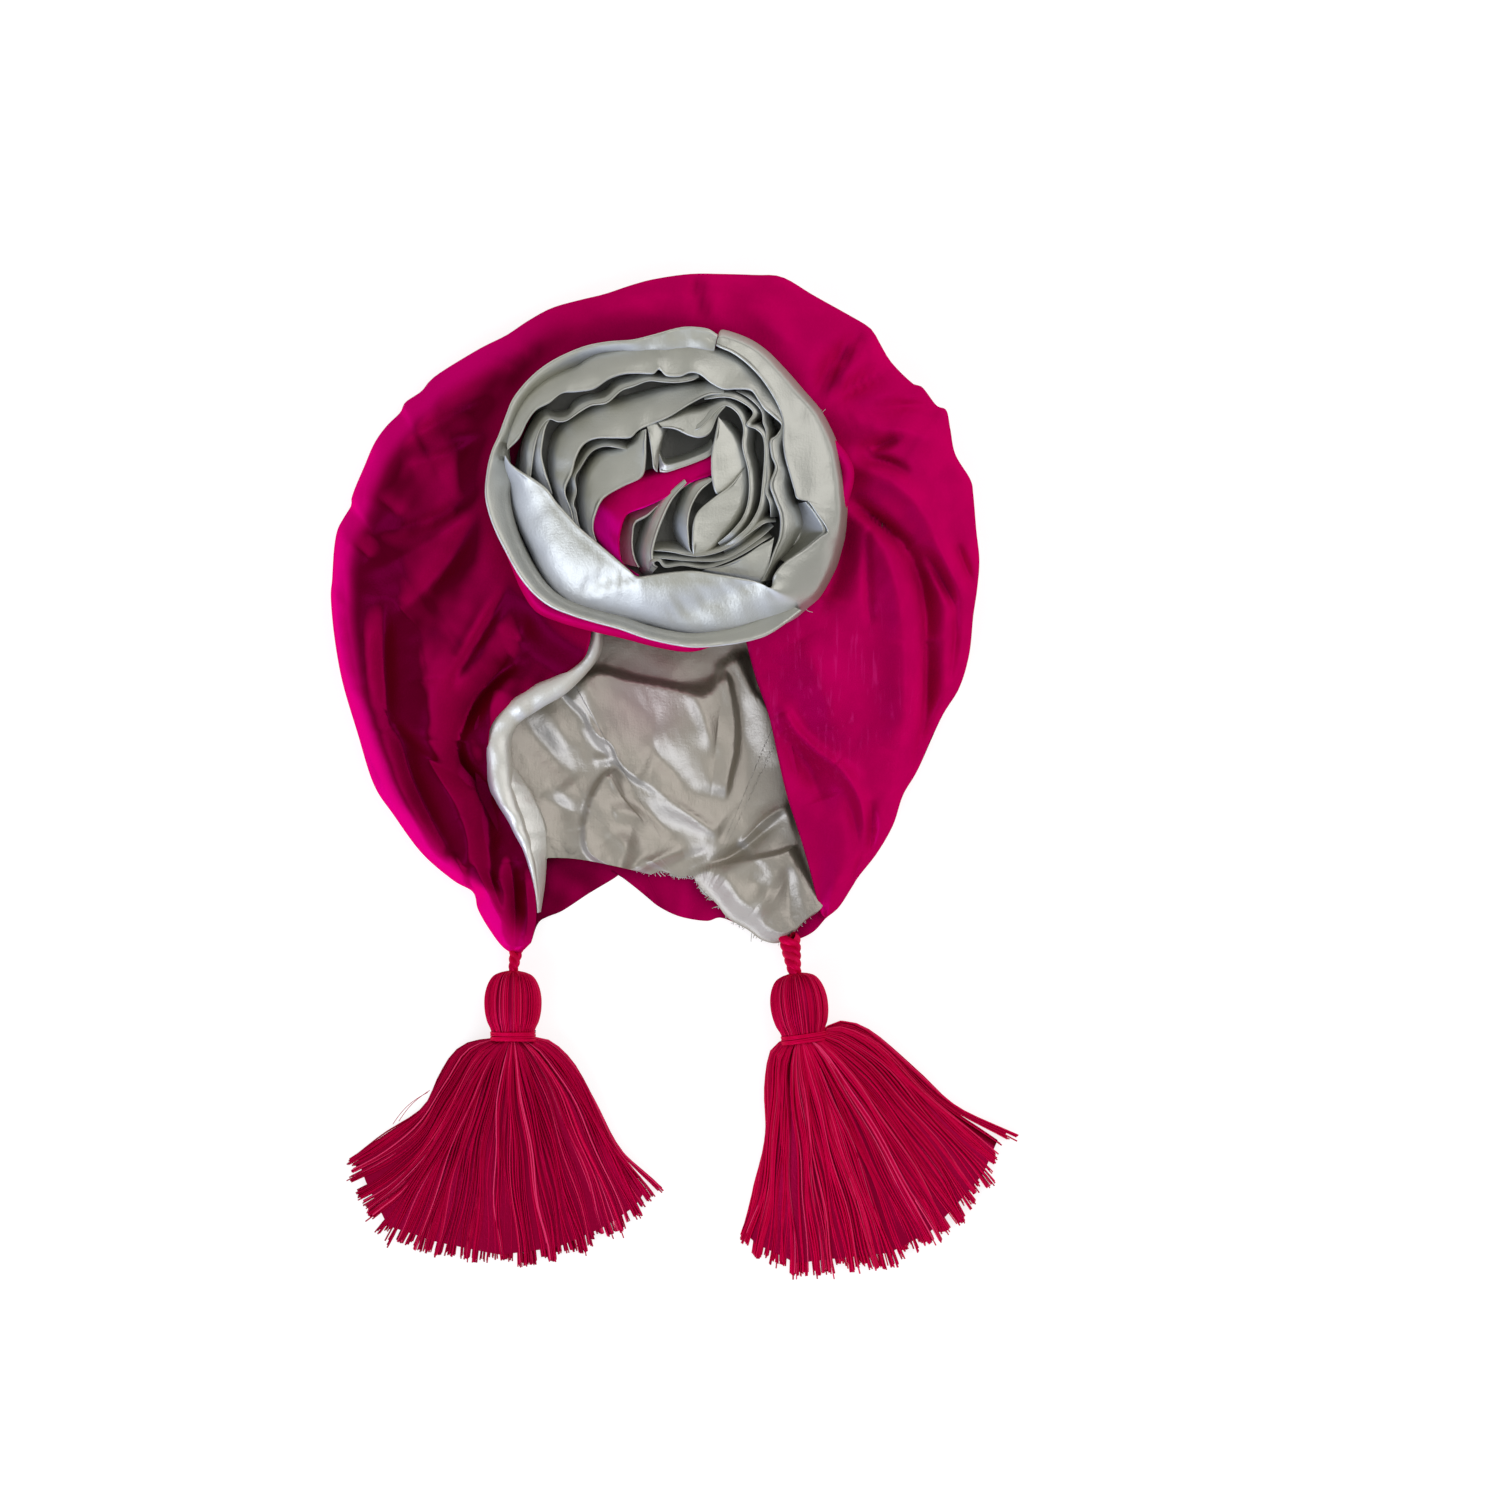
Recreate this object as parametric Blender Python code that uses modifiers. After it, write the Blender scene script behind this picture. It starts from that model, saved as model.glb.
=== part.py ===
"""Turban hat: a lined cloth bag lying on its back, with a coiled satin band rosette and two thread tassels.

Units are metres, +Z is up. The origin is on the surface that the hat lies on, below the middle of the bag.
+X is the wearer's left, +Y runs from the nape to the crown, and the rosette on the front looks up.
Plan tables give places as shares of half the bag's width (x) and half its length (y) from the origin.
"""

import bisect
import math

import bmesh
import bpy
from mathutils import Vector

COLLECTION = "turban_hat"

# Driving dimensions
HAT_WIDTH = 0.258
HAT_LENGTH = 0.273
PUFF_HEIGHT = 0.040
RIM_ROLL = 0.012
CLOTH = 0.0012
LINING_CLOTH = 0.0010
SEAM_GAP = 0.0007
GAP = 0.0003
SEAT_HEIGHT = 0.034
FACING_WIDTH = 0.0100
FACING_DEPTH = 0.0030
ROSETTE_RADIUS = 0.070
ROSETTE_HEIGHT = 0.030
BAND_CLOTH = 0.0012
BAND_UNDERCUT = 0.0040
BAND_FOOT = 0.0015
TASSEL_HEAD_LENGTH = 0.026
TASSEL_HEAD_RADIUS = 0.0112
TASSEL_SKIRT_LENGTH = 0.0928
TASSEL_SKIRT_DEPTH = 0.0190
TASSEL_TIP_DEPTH = 0.0080
BINDING_WIDTH = 0.0040
BINDING_DEPTH = 0.0014
CORD_DIAMETER = 0.0044

# Counts
CROWN_COLUMNS = 44
LINING_INSET = 3
BAND_STEP = 12
FACING_SECTIONS = 14
FACING_SIDES = 8
TASSEL_SIDES = 36
TASSEL_LOCKS = 7
BINDING_SIDES = 18

# Shares that shape the bag: where the seat under the rosette ends and has faded (of ROSETTE_RADIUS), where the
# front's shoulder starts, how high the rim's widest line is, how far the corners stay free of folds, and how much
# of a fold is left at its ends
SEAT_SHARES = (1.10, 1.34)
SHOULDER_START = 0.45
RIM_SHARE = 0.33
CORNER_SHARE = 0.06
FOLD_END_SHARE = 0.35

# Shares that shape the rosette's band and a tassel: where the band's undercut ends, how high the wrap reaches, how
# thick the neck is, and how deep the grooves are between locks
UNDERCUT_TOP = 0.60
WRAP_TOP = 0.50
NECK_SHARE = 0.82
LOCK_GROOVE = 0.22

# Rows of the bag's grid: over the front from the face edge to the rim, and round under the rim. The first
# SHOULDER_ROW of the way down a column lies before the shoulder.
FRONT_ROWS = (0, 0.12, 0.26, 0.40, 0.52, 0.64, 0.76, 0.88, 1)
RIM_ROWS = (1.35, 1.7, 2)
SHOULDER_ROW = 0.40

# Places, as shares of half the bag's width and half its length
ROSETTE_CENTRE = (0.02, 0.34)
LEFT_NECK = (-0.44, -1.25)
RIGHT_NECK = (0.46, -1.255)
RIGHT_HEAD_TILT = math.radians(8)

# The bag's outline seen from the front, from the left corner over the crown to the right corner: x, y
OUTLINE = (
    (-0.46, -0.99), (-0.55, -0.83), (-0.73, -0.71), (-0.86, -0.55), (-0.94, -0.33), (-0.99, -0.11),
    (-1.00, 0.10), (-0.96, 0.26), (-0.89, 0.43), (-0.79, 0.58), (-0.61, 0.70), (-0.42, 0.82),
    (-0.25, 0.90), (-0.05, 0.95), (0.12, 0.99), (0.37, 0.97), (0.60, 0.86), (0.72, 0.74),
    (0.90, 0.59), (0.97, 0.40), (1.00, 0.14), (0.97, -0.13), (0.85, -0.44), (0.67, -0.76),
    (0.54, -0.90), (0.47, -0.97),
)

# The edge of the face opening, from the left corner to the right corner: x, y
FACE_EDGE = (
    (-0.40, -0.98), (-0.36, -0.90), (-0.40, -0.79), (-0.46, -0.65), (-0.50, -0.50), (-0.51, -0.40),
    (-0.47, -0.31), (-0.36, -0.22), (-0.23, -0.16), (-0.18, -0.09), (-0.16, -0.03), (-0.06, 0.02),
    (0.06, 0.03), (0.20, 0.01), (0.28, -0.06), (0.31, -0.15), (0.35, -0.28), (0.39, -0.41),
    (0.43, -0.57), (0.47, -0.74), (0.50, -0.86), (0.48, -0.91), (0.43, -0.95),
)

# The nape edge of the back, from the left corner to the right corner: x, y
NAPE_EDGE = (
    (-0.40, -0.99), (-0.30, -0.89), (-0.20, -0.85), (-0.12, -0.80), (-0.05, -0.77), (0.00, -0.82),
    (0.08, -0.88), (0.20, -0.91), (0.31, -0.95), (0.41, -0.98),
)

# How the back's panel fans out: share of the way round the outline, share of the way along the nape edge
BACK_FAN = (
    (0.00, 0.00), (0.05, 0.22), (0.10, 0.40), (0.20, 0.47), (0.80, 0.60), (0.90, 0.75), (0.95, 0.87),
    (1.00, 1.00),
)

# The loose hem of the lining over the back: x, y
LINING_HEM = (
    (-0.36, -0.84), (-0.36, -0.71), (-0.33, -0.66), (-0.27, -0.67), (-0.23, -0.70), (-0.16, -0.73),
    (-0.05, -0.74), (0.05, -0.76), (0.14, -0.80), (0.21, -0.86), (0.28, -0.92), (0.36, -0.94),
)

# Height of the puffed front around the bag: share of the way round, share of PUFF_HEIGHT
PUFF = (
    (0.00, 0.27), (0.05, 0.36), (0.15, 0.62), (0.30, 0.90), (0.50, 1.00), (0.70, 0.95), (0.85, 0.66),
    (0.95, 0.36), (1.00, 0.22),
)

# Height of the face edge: share of the way round, share of PUFF_HEIGHT
FACE_HEIGHT = (
    (0.00, 0.23), (0.10, 0.30), (0.25, 0.43), (0.38, 0.60), (0.46, 0.80), (0.56, 0.80), (0.65, 0.65),
    (0.75, 0.50), (0.90, 0.33), (1.00, 0.15),
)

# Folds of the front, each along a curve from a start by a middle to an end
# start x, start y, middle x, middle y, end x, end y, height (share of PUFF_HEIGHT), width (of HAT_WIDTH)
FOLDS = (
    (-0.42, 0.29, -0.79, -0.09, -0.81, -0.50, -0.09, 0.030),
    (-0.30, -0.09, -0.59, -0.27, -0.63, -0.53, -0.11, 0.022),
    (-0.63, -0.53, -0.61, -0.74, -0.48, -0.85, -0.09, 0.020),
    (-0.79, -0.27, -0.73, -0.66, -0.48, -0.85, -0.08, 0.022),
    (-0.48, 0.38, -0.79, 0.20, -0.96, 0.09, 0.07, 0.030),
    (-0.42, 0.09, -0.57, -0.09, -0.67, -0.27, 0.07, 0.026),
    (-0.96, -0.09, -0.90, -0.53, -0.58, -0.81, 0.07, 0.030),
    (0.13, 0.97, 0.13, 0.88, 0.14, 0.80, -0.16, 0.022),
    (-0.03, 0.91, 0.02, 0.86, 0.08, 0.82, -0.08, 0.020),
    (0.70, 0.79, 0.60, 0.71, 0.49, 0.63, -0.10, 0.024),
    (0.57, 0.26, 0.84, 0.14, 0.86, -0.18, -0.13, 0.020),
    (0.86, -0.18, 0.85, -0.41, 0.77, -0.56, -0.10, 0.020),
    (0.87, 0.11, 0.95, 0.00, 0.98, -0.03, -0.10, 0.018),
    (0.60, 0.23, 0.80, 0.11, 0.81, -0.44, 0.08, 0.022),
    (0.34, -0.24, 0.53, -0.47, 0.67, -0.71, 0.07, 0.026),
)

# Crumples of the lining that lies on the back, in the columns of FOLDS
CRUMPLES = (
    (-0.17, -0.40, 0.05, -0.33, 0.25, -0.40, 0.30, 0.080),
    (-0.28, -0.24, -0.02, -0.20, 0.25, -0.16, 0.20, 0.030),
    (-0.11, -0.47, -0.22, -0.60, -0.16, -0.70, 0.20, 0.040),
    (-0.11, -0.46, 0.02, -0.56, 0.18, -0.66, 0.10, 0.024),
    (0.14, -0.70, 0.26, -0.84, 0.34, -0.92, 0.09, 0.024),
)

# Width of the turned facing along the left side of the face edge: share of the way round, of FACING_WIDTH
FACING = (
    (0.03, 0.35), (0.06, 0.40), (0.10, 0.90), (0.16, 1.00), (0.22, 0.88), (0.28, 0.72), (0.34, 0.72),
    (0.40, 0.50), (0.44, 0.32),
)

# Turns of the rosette's folded band, seen from the front, with lengths as shares of ROSETTE_RADIUS
# angle (degrees clockwise from the crown), outer edge, inner edge, top (share of ROSETTE_HEIGHT)
OUTER_TURN = (
    (0, 0.89, 0.85, 0.86), (30, 0.94, 0.86, 0.88), (60, 0.95, 0.82, 0.90), (90, 0.98, 0.75, 0.92),
    (104, 1.01, 0.97, 0.86), (120, 1.03, 0.985, 0.80), (150, 1.01, 0.96, 0.80), (165, 0.92, 0.83, 0.84),
    (180, 0.86, 0.785, 0.84), (195, 0.83, 0.765, 0.84), (210, 0.85, 0.79, 0.84), (225, 0.90, 0.84, 0.84),
    (240, 0.94, 0.86, 0.84), (270, 1.01, 0.86, 0.86), (285, 1.00, 0.91, 0.86), (300, 0.98, 0.91, 0.86),
    (330, 0.93, 0.85, 0.86), (360, 0.89, 0.85, 0.86),
)
COIL = (
    (108, 0.95, 0.80, 0.90), (120, 0.965, 0.79, 0.93), (135, 0.965, 0.78, 0.96), (150, 0.94, 0.64, 1.00),
    (165, 0.81, 0.49, 1.00), (180, 0.765, 0.46, 1.00), (195, 0.745, 0.48, 0.98), (210, 0.77, 0.48, 1.00),
    (225, 0.82, 0.49, 1.00), (240, 0.83, 0.50, 1.00), (255, 0.83, 0.54, 0.98), (270, 0.84, 0.65, 0.96),
    (280, 0.86, 0.77, 0.92), (290, 0.88, 0.79, 0.92), (300, 0.885, 0.79, 0.92), (315, 0.86, 0.71, 0.94),
    (330, 0.83, 0.66, 0.95), (345, 0.83, 0.67, 0.95), (360, 0.82, 0.65, 0.95), (375, 0.83, 0.67, 0.95),
    (390, 0.83, 0.70, 0.94), (405, 0.82, 0.75, 0.92), (420, 0.79, 0.74, 0.92), (435, 0.75, 0.62, 0.94),
    (450, 0.73, 0.62, 0.96), (465, 0.77, 0.67, 0.95), (480, 0.77, 0.67, 0.95), (495, 0.75, 0.66, 0.95),
    (510, 0.61, 0.55, 0.92), (525, 0.46, 0.41, 0.90), (540, 0.43, 0.38, 0.90), (570, 0.45, 0.41, 0.90),
    (600, 0.47, 0.42, 0.90), (615, 0.51, 0.46, 0.92), (630, 0.62, 0.57, 0.94), (645, 0.74, 0.66, 0.96),
    (655, 0.76, 0.69, 0.96), (665, 0.72, 0.65, 0.95), (675, 0.68, 0.61, 0.94), (690, 0.63, 0.58, 0.94),
    (705, 0.64, 0.58, 0.94), (720, 0.62, 0.57, 0.94), (735, 0.64, 0.59, 0.94), (750, 0.67, 0.61, 0.95),
    (765, 0.69, 0.61, 0.95), (780, 0.63, 0.56, 0.94), (795, 0.59, 0.52, 0.94), (810, 0.59, 0.52, 0.94),
    (825, 0.64, 0.57, 0.94), (840, 0.64, 0.57, 0.94), (855, 0.62, 0.55, 0.93), (870, 0.53, 0.48, 0.92),
)
INNER_TURN = (
    (264, 0.50, 0.46, 0.86), (275, 0.57, 0.49, 0.90), (287, 0.63, 0.53, 0.92), (300, 0.61, 0.49, 0.92),
    (315, 0.58, 0.38, 0.94), (330, 0.56, 0.38, 0.94), (345, 0.55, 0.39, 0.93), (360, 0.54, 0.42, 0.92),
    (375, 0.56, 0.45, 0.91), (390, 0.58, 0.52, 0.90),
)
PETAL = (
    (250, 0.43, 0.40, 0.80), (258, 0.43, 0.34, 0.84), (270, 0.43, 0.26, 0.88), (285, 0.45, 0.15, 0.90),
    (300, 0.42, 0.13, 0.90), (315, 0.34, 0.13, 0.88), (330, 0.34, 0.20, 0.86), (340, 0.35, 0.30, 0.84),
)
LEAF = (
    (48, 0.47, 0.41, 0.82), (60, 0.475, 0.32, 0.86), (75, 0.475, 0.29, 0.88), (95, 0.47, 0.29, 0.88),
    (105, 0.445, 0.25, 0.88), (120, 0.43, 0.235, 0.88), (135, 0.42, 0.26, 0.86), (148, 0.41, 0.37, 0.82),
)
CURL = (
    (76, 0.26, 0.22, 0.78), (95, 0.265, 0.155, 0.82), (105, 0.23, 0.14, 0.84), (120, 0.215, 0.13, 0.84),
    (135, 0.235, 0.13, 0.84), (146, 0.34, 0.15, 0.84), (160, 0.33, 0.17, 0.82), (172, 0.25, 0.20, 0.78),
)

# The hat cloth's crescent in the heart of the rosette, with lengths as shares of ROSETTE_RADIUS
# outer x, outer y, inner x, inner y, top (share of ROSETTE_HEIGHT)
TAIL = (
    (-0.29, -0.24, -0.20, -0.30, 0.76), (-0.34, -0.15, -0.21, -0.20, 0.80), (-0.24, -0.06, -0.16, -0.14, 0.80),
    (-0.08, 0.03, -0.02, -0.06, 0.78), (0.13, 0.10, 0.15, 0.04, 0.76), (0.22, 0.15, 0.24, 0.09, 0.74),
)

# Hat cloth wound round the foot of the rosette: angle (degrees), how far its top leans past the band
WRAP_REACH = (
    (0, 0.0), (52, 0.0), (66, 0.08), (80, 0.13), (92, 0.06), (100, 0.0), (172, 0.0), (185, 0.02),
    (200, 0.02), (212, 0.05), (226, 0.09), (240, 0.03), (250, 0.0), (360, 0.0),
)

# Outline of a tassel's head along its axis: share of TASSEL_HEAD_LENGTH from the neck, of TASSEL_HEAD_RADIUS
HEAD_PROFILE = (
    (1.00, 0.42), (0.93, 0.78), (0.70, 0.98), (0.40, 1.00), (0.20, 0.94), (0.09, NECK_SHARE),
    (0.00, NECK_SHARE - 0.02), (-0.09, NECK_SHARE),
)

# Ends of a tassel's locks: angle from straight down (degrees), length (share of TASSEL_SKIRT_LENGTH)
LEFT_FAN = (
    (-54, 0.90), (-33, 1.04), (-18, 1.00), (0, 1.00), (12, 0.99), (23, 0.97), (35, 0.96), (44, 0.92),
)
RIGHT_FAN = (
    (-19, 0.91), (-11, 0.98), (-1, 1.04), (11, 1.03), (23, 1.08), (33, 1.07), (42, 1.04), (50, 1.03),
    (59, 1.04), (66, 1.02),
)

# Thickness and splay of a skirt down its length: share of the length, share of the depth from tip to neck,
# share of the fan's spread that is reached
SKIRT_SECTIONS = (
    (0.05, 0.95, 0.06), (0.15, 1.00, 0.17), (0.32, 0.85, 0.36), (0.50, 0.60, 0.54), (0.68, 0.38, 0.71),
    (0.85, 0.18, 0.86), (1.00, 0.00, 1.00),
)

# Colour, metallic, roughness
MATERIALS = {
    "magenta_crepe": ((0.38, 0.0, 0.10, 1.0), 0.0, 0.75),
    "grey_satin": ((0.45, 0.44, 0.38, 1.0), 0.0, 0.32),
    "crimson_thread": ((0.40, 0.0, 0.03, 1.0), 0.0, 0.55),
}


def plan(share_x, share_y):
    """A point of the plan tables in metres."""
    return Vector((share_x * HAT_WIDTH / 2, share_y * HAT_LENGTH / 2))


def table_value(rows, where, column=1):
    """A column of a table at a place between its rows."""
    places = [row[0] for row in rows]
    if where <= places[0]:
        return rows[0][column]
    if where >= places[-1]:
        return rows[-1][column]
    upper = bisect.bisect_right(places, where)
    low, high = rows[upper - 1], rows[upper]
    share = (where - low[0]) / (high[0] - low[0])
    return low[column] + (high[column] - low[column]) * share


def smooth_step(value):
    """0 below 0, 1 above 1 and a soft rise between."""
    value = max(0.0, min(1.0, value))
    return value * value * (3 - 2 * value)


class PlanPath:
    """A smooth curve through a plan table, read by the share of its length."""

    STEPS = 10

    def __init__(self, rows):
        knots = [plan(*row) for row in rows]
        knots = [2 * knots[0] - knots[1]] + knots + [2 * knots[-1] - knots[-2]]
        self.points = []
        for index in range(1, len(knots) - 2):
            for step in range(self.STEPS):
                self.points.append(self.between(knots[index - 1:index + 3], step / self.STEPS))
        self.points.append(knots[-2])
        self.lengths = [0.0]
        for start, end in zip(self.points, self.points[1:]):
            self.lengths.append(self.lengths[-1] + (end - start).length)

    @staticmethod
    def between(knots, share):
        """A Catmull-Rom point between the two middle knots of four."""
        before, start, end, after = knots
        return 0.5 * (
            2 * start
            + (end - before) * share
            + (2 * before - 5 * start + 4 * end - after) * share ** 2
            + (3 * start - before - 3 * end + after) * share ** 3
        )

    def at(self, share):
        """The point at a share of the length."""
        length = max(0.0, min(1.0, share)) * self.lengths[-1]
        upper = min(max(bisect.bisect_right(self.lengths, length), 1), len(self.points) - 1)
        span = self.lengths[upper] - self.lengths[upper - 1]
        part = (length - self.lengths[upper - 1]) / span
        return self.points[upper - 1].lerp(self.points[upper], part)


OUTLINE_PATH = PlanPath(OUTLINE)
FACE_PATH = PlanPath(FACE_EDGE)
NAPE_PATH = PlanPath(NAPE_EDGE)
HEM_PATH = PlanPath(LINING_HEM)


class Fold:
    """A soft ridge or valley along a curve in plan."""

    STEPS = 8

    def __init__(self, row):
        start, middle, end = plan(*row[0:2]), plan(*row[2:4]), plan(*row[4:6])
        self.height = row[6] * PUFF_HEIGHT
        self.width = row[7] * HAT_WIDTH
        self.line = []
        for step in range(self.STEPS + 1):
            share = step / self.STEPS
            first = start.lerp(middle, share)
            self.line.append(first.lerp(middle.lerp(end, share), share))

    def at(self, point):
        """Height of the fold at a point of the plan; it fades out at both ends."""
        nearest, along = 1.0, 0.0
        for index in range(self.STEPS):
            start, end = self.line[index], self.line[index + 1]
            run = end - start
            share = max(0.0, min(1.0, (point - start).dot(run) / run.length_squared))
            distance = (point - start - run * share).length
            if distance < nearest:
                nearest, along = distance, (index + share) / self.STEPS
        fade = FOLD_END_SHARE + (1 - FOLD_END_SHARE) * math.sin(math.pi * along)
        return self.height * fade * math.exp(-(nearest / self.width) ** 2)


FRONT_FOLDS = [Fold(row) for row in FOLDS]
LINING_FOLDS = [Fold(row) for row in CRUMPLES]
SEAT_CENTRE = plan(*ROSETTE_CENTRE)


def front_point(way, across):
    """The bag's front at a share of the way round, from the face edge (0) to the rim (1)."""
    face, rim = FACE_PATH.at(way), OUTLINE_PATH.at(way)
    top = PUFF_HEIGHT * table_value(PUFF, way)
    edge = PUFF_HEIGHT * table_value(FACE_HEIGHT, way)
    if across < SHOULDER_ROW:
        share = SHOULDER_START * across / SHOULDER_ROW
        height = edge + (top - edge) * smooth_step(across / SHOULDER_ROW)
        level = 1.0
    else:
        turn = math.pi / 2 * (across - SHOULDER_ROW) / (1 - SHOULDER_ROW)
        share = SHOULDER_START + (1 - SHOULDER_START) * math.sin(turn)
        height = top * (RIM_SHARE + (1 - RIM_SHARE) * math.cos(turn))
        level = max(0.0, math.cos(turn))
    point = face.lerp(rim, share)
    corner_share = smooth_step(way / CORNER_SHARE) * smooth_step((1 - way) / CORNER_SHARE)
    height += level ** 0.5 * corner_share * sum(fold.at(point) for fold in FRONT_FOLDS)
    distance = (point - SEAT_CENTRE).length / ROSETTE_RADIUS
    seat = 1 - smooth_step((distance - SEAT_SHARES[0]) / (SEAT_SHARES[1] - SEAT_SHARES[0]))
    height += (SEAT_HEIGHT - height) * seat * min(1.0, 2 * level)
    return Vector((point.x, point.y, height))


def nape_end(way):
    """Where the back's panel ends at a share of the way round."""
    return NAPE_PATH.at(table_value(BACK_FAN, way))


def hem_end(way):
    """Where the lining's back ends: its hem runs between the lining's first and last columns."""
    first = table_value(BACK_FAN, LINING_INSET / CROWN_COLUMNS)
    last = table_value(BACK_FAN, 1 - LINING_INSET / CROWN_COLUMNS)
    return HEM_PATH.at((table_value(BACK_FAN, way) - first) / (last - first))


def bag_point(way, down, back_end):
    """The outside of the bag: down is 0 to 1 over the front, 1 to 2 under the rim, 2 to 3 along the back."""
    if down <= 1:
        return front_point(way, down)
    rim = OUTLINE_PATH.at(way)
    run = OUTLINE_PATH.at(way + 0.01) - OUTLINE_PATH.at(way - 0.01)
    inward = Vector((run.y, -run.x)).normalized()
    roll = min(RIM_ROLL, 0.25 * (FACE_PATH.at(way) - rim).length)
    rim_height = PUFF_HEIGHT * table_value(PUFF, way) * RIM_SHARE
    if down <= 2:
        turn = math.pi / 2 * (down - 1)
        point = rim + inward * roll * (1 - math.cos(turn))
        return Vector((point.x, point.y, rim_height * (1 - math.sin(turn))))
    point = (rim + inward * roll).lerp(back_end(way), down - 2)
    return Vector((point.x, point.y, 0.0))


def lining_point(way, down):
    """The outside of the lining: just inside the bag, and crumpled where it lies on the back."""
    step = 0.004
    point = bag_point(way, down, hem_end)
    if down >= 2:
        loose = smooth_step((down - 2) / 0.25)
        point.z = CLOTH + SEAM_GAP + loose * sum(fold.at(point.xy) for fold in LINING_FOLDS)
        return point
    along = bag_point(way + step, down, hem_end) - bag_point(way - step, down, hem_end)
    across = bag_point(way, down + step, hem_end) - bag_point(way, down - step, hem_end)
    return point - along.cross(across).normalized() * (CLOTH + SEAM_GAP)


def make_object(name, mesh, material):
    """One object of the hat, smooth, with its own material."""
    colour, metallic, roughness = MATERIALS[material]
    finish = bpy.data.materials.new(name + "_" + material)
    finish.use_nodes = True
    shader = finish.node_tree.nodes["Principled BSDF"]
    shader.inputs["Base Color"].default_value = colour
    shader.inputs["Metallic"].default_value = metallic
    shader.inputs["Roughness"].default_value = roughness
    finish.diffuse_color = colour
    mesh.materials.append(finish)
    mesh.shade_smooth()
    piece = bpy.data.objects.new(name, mesh)
    bpy.data.collections[COLLECTION].objects.link(piece)
    return piece


def cloth_sheet(name, columns, rows, place, thickness, material):
    """A cloth wall: a grid laid on a surface, thickened to its inner side."""
    shape = bmesh.new()
    bmesh.ops.create_grid(shape, x_segments=columns, y_segments=len(rows) - 1, size=0.5)
    for vertex in shape.verts:
        column = round((vertex.co.x + 0.5) * columns)
        row = round((vertex.co.y + 0.5) * (len(rows) - 1))
        vertex.co = place(column / columns, rows[row])
    mesh = bpy.data.meshes.new(name)
    shape.to_mesh(mesh)
    shape.free()
    piece = make_object(name, mesh, material)
    wall = piece.modifiers.new("Cloth", "SOLIDIFY")
    wall.thickness = thickness
    wall.offset = -1
    return piece


def loft(name, sections, material, closed=False):
    """A solid through like sections, each a ring of points that is capped by pairing its two halves."""
    shape = bmesh.new()
    rings = [[shape.verts.new(point) for point in section] for section in sections]
    count = len(rings[0])
    pairs = list(zip(rings, rings[1:]))
    if closed:
        pairs.append((rings[-1], rings[0]))
    for first, second in pairs:
        for index in range(count):
            after = (index + 1) % count
            shape.faces.new((first[index], first[after], second[after], second[index]))
    if not closed:
        for ring in (rings[0], rings[-1]):
            for index in range(count // 2 - 1):
                corners = (ring[index], ring[index + 1], ring[count - 2 - index], ring[count - 1 - index])
                shape.faces.new(corners)
    bmesh.ops.recalc_face_normals(shape, faces=shape.faces)
    mesh = bpy.data.meshes.new(name)
    shape.to_mesh(mesh)
    shape.free()
    return make_object(name, mesh, material)


def crown_shell():
    """The bag of hat cloth, from the face edge over the front, round the rim and along the flat back."""

    def place(share, down):
        return bag_point(share, down, nape_end)

    rows = FRONT_ROWS + RIM_ROWS + (2.5, 3)
    cloth_sheet("crown_shell", CROWN_COLUMNS, rows, place, CLOTH, "magenta_crepe")


def crown_lining():
    """The satin lining of the bag, loose and crumpled over the back."""
    columns = CROWN_COLUMNS - 2 * LINING_INSET

    def place(share, down):
        return lining_point((LINING_INSET + columns * share) / CROWN_COLUMNS, down)

    rows = FRONT_ROWS[1:] + RIM_ROWS + (2.30, 2.50, 2.64, 2.76, 2.88, 2.99)
    cloth_sheet("crown_lining", columns, rows, place, LINING_CLOTH, "grey_satin")


def edge_facing():
    """The satin facing that turns out along the left side of the face edge."""
    sections = []
    start, end = FACING[0][0], FACING[-1][0]
    for index in range(FACING_SECTIONS):
        way = start + (end - start) * index / (FACING_SECTIONS - 1)
        edge = FACE_PATH.at(way)
        run = (FACE_PATH.at(way + 0.01) - FACE_PATH.at(way - 0.01)).normalized()
        inward = Vector((run.y, -run.x))
        width = FACING_WIDTH * table_value(FACING, way)
        middle = edge + inward * (GAP + CLOTH + width / 2)
        height = front_point(way, 0).z - CLOTH / 2
        section = []
        for side in range(FACING_SIDES):
            turn = 2 * math.pi * (side + 0.5) / FACING_SIDES
            across = middle + inward * (width / 2 * math.cos(turn))
            section.append((across.x, across.y, height + FACING_DEPTH / 2 * math.sin(turn)))
        sections.append(section)
    loft("edge_facing", sections, "grey_satin")


def fold_section(outer, inner, top, undercut=0.0):
    """A band folded over lengthwise: two walls that stand on the seat and meet in a rounded fold above."""
    foot = SEAT_HEIGHT + GAP
    height = ROSETTE_HEIGHT * top
    width = (outer - inner).length
    inward = (inner - outer).normalized()
    wall = min(BAND_CLOTH, 0.30 * width)
    base = min(undercut, max(0.0, width - BAND_FOOT))
    outside = (
        (base, 0.0), (base, UNDERCUT_TOP * height), (0.10 * width, 0.93 * height),
        (0.72 * width, height), (width, 0.90 * height), (width, 0.0),
    )
    inside = (
        (width - wall, 0.0), (width - wall, 0.90 * height - wall), (0.72 * width, height - wall),
        (0.10 * width + wall, 0.93 * height - wall), (base + wall, UNDERCUT_TOP * height), (base + wall, 0.0),
    )
    if base + 2 * wall > width - wall:
        narrow = (base + width) / 2
        inside = (
            (narrow + wall / 4, 0.0), (narrow + wall / 4, 0.45 * height), (narrow + wall / 4, 0.55 * height),
            (narrow - wall / 4, 0.55 * height), (narrow - wall / 4, 0.45 * height), (narrow - wall / 4, 0.0),
        )
    points = []
    for across, up in outside + inside:
        place = outer + inward * across
        points.append((place.x, place.y, foot + up))
    return points


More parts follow.
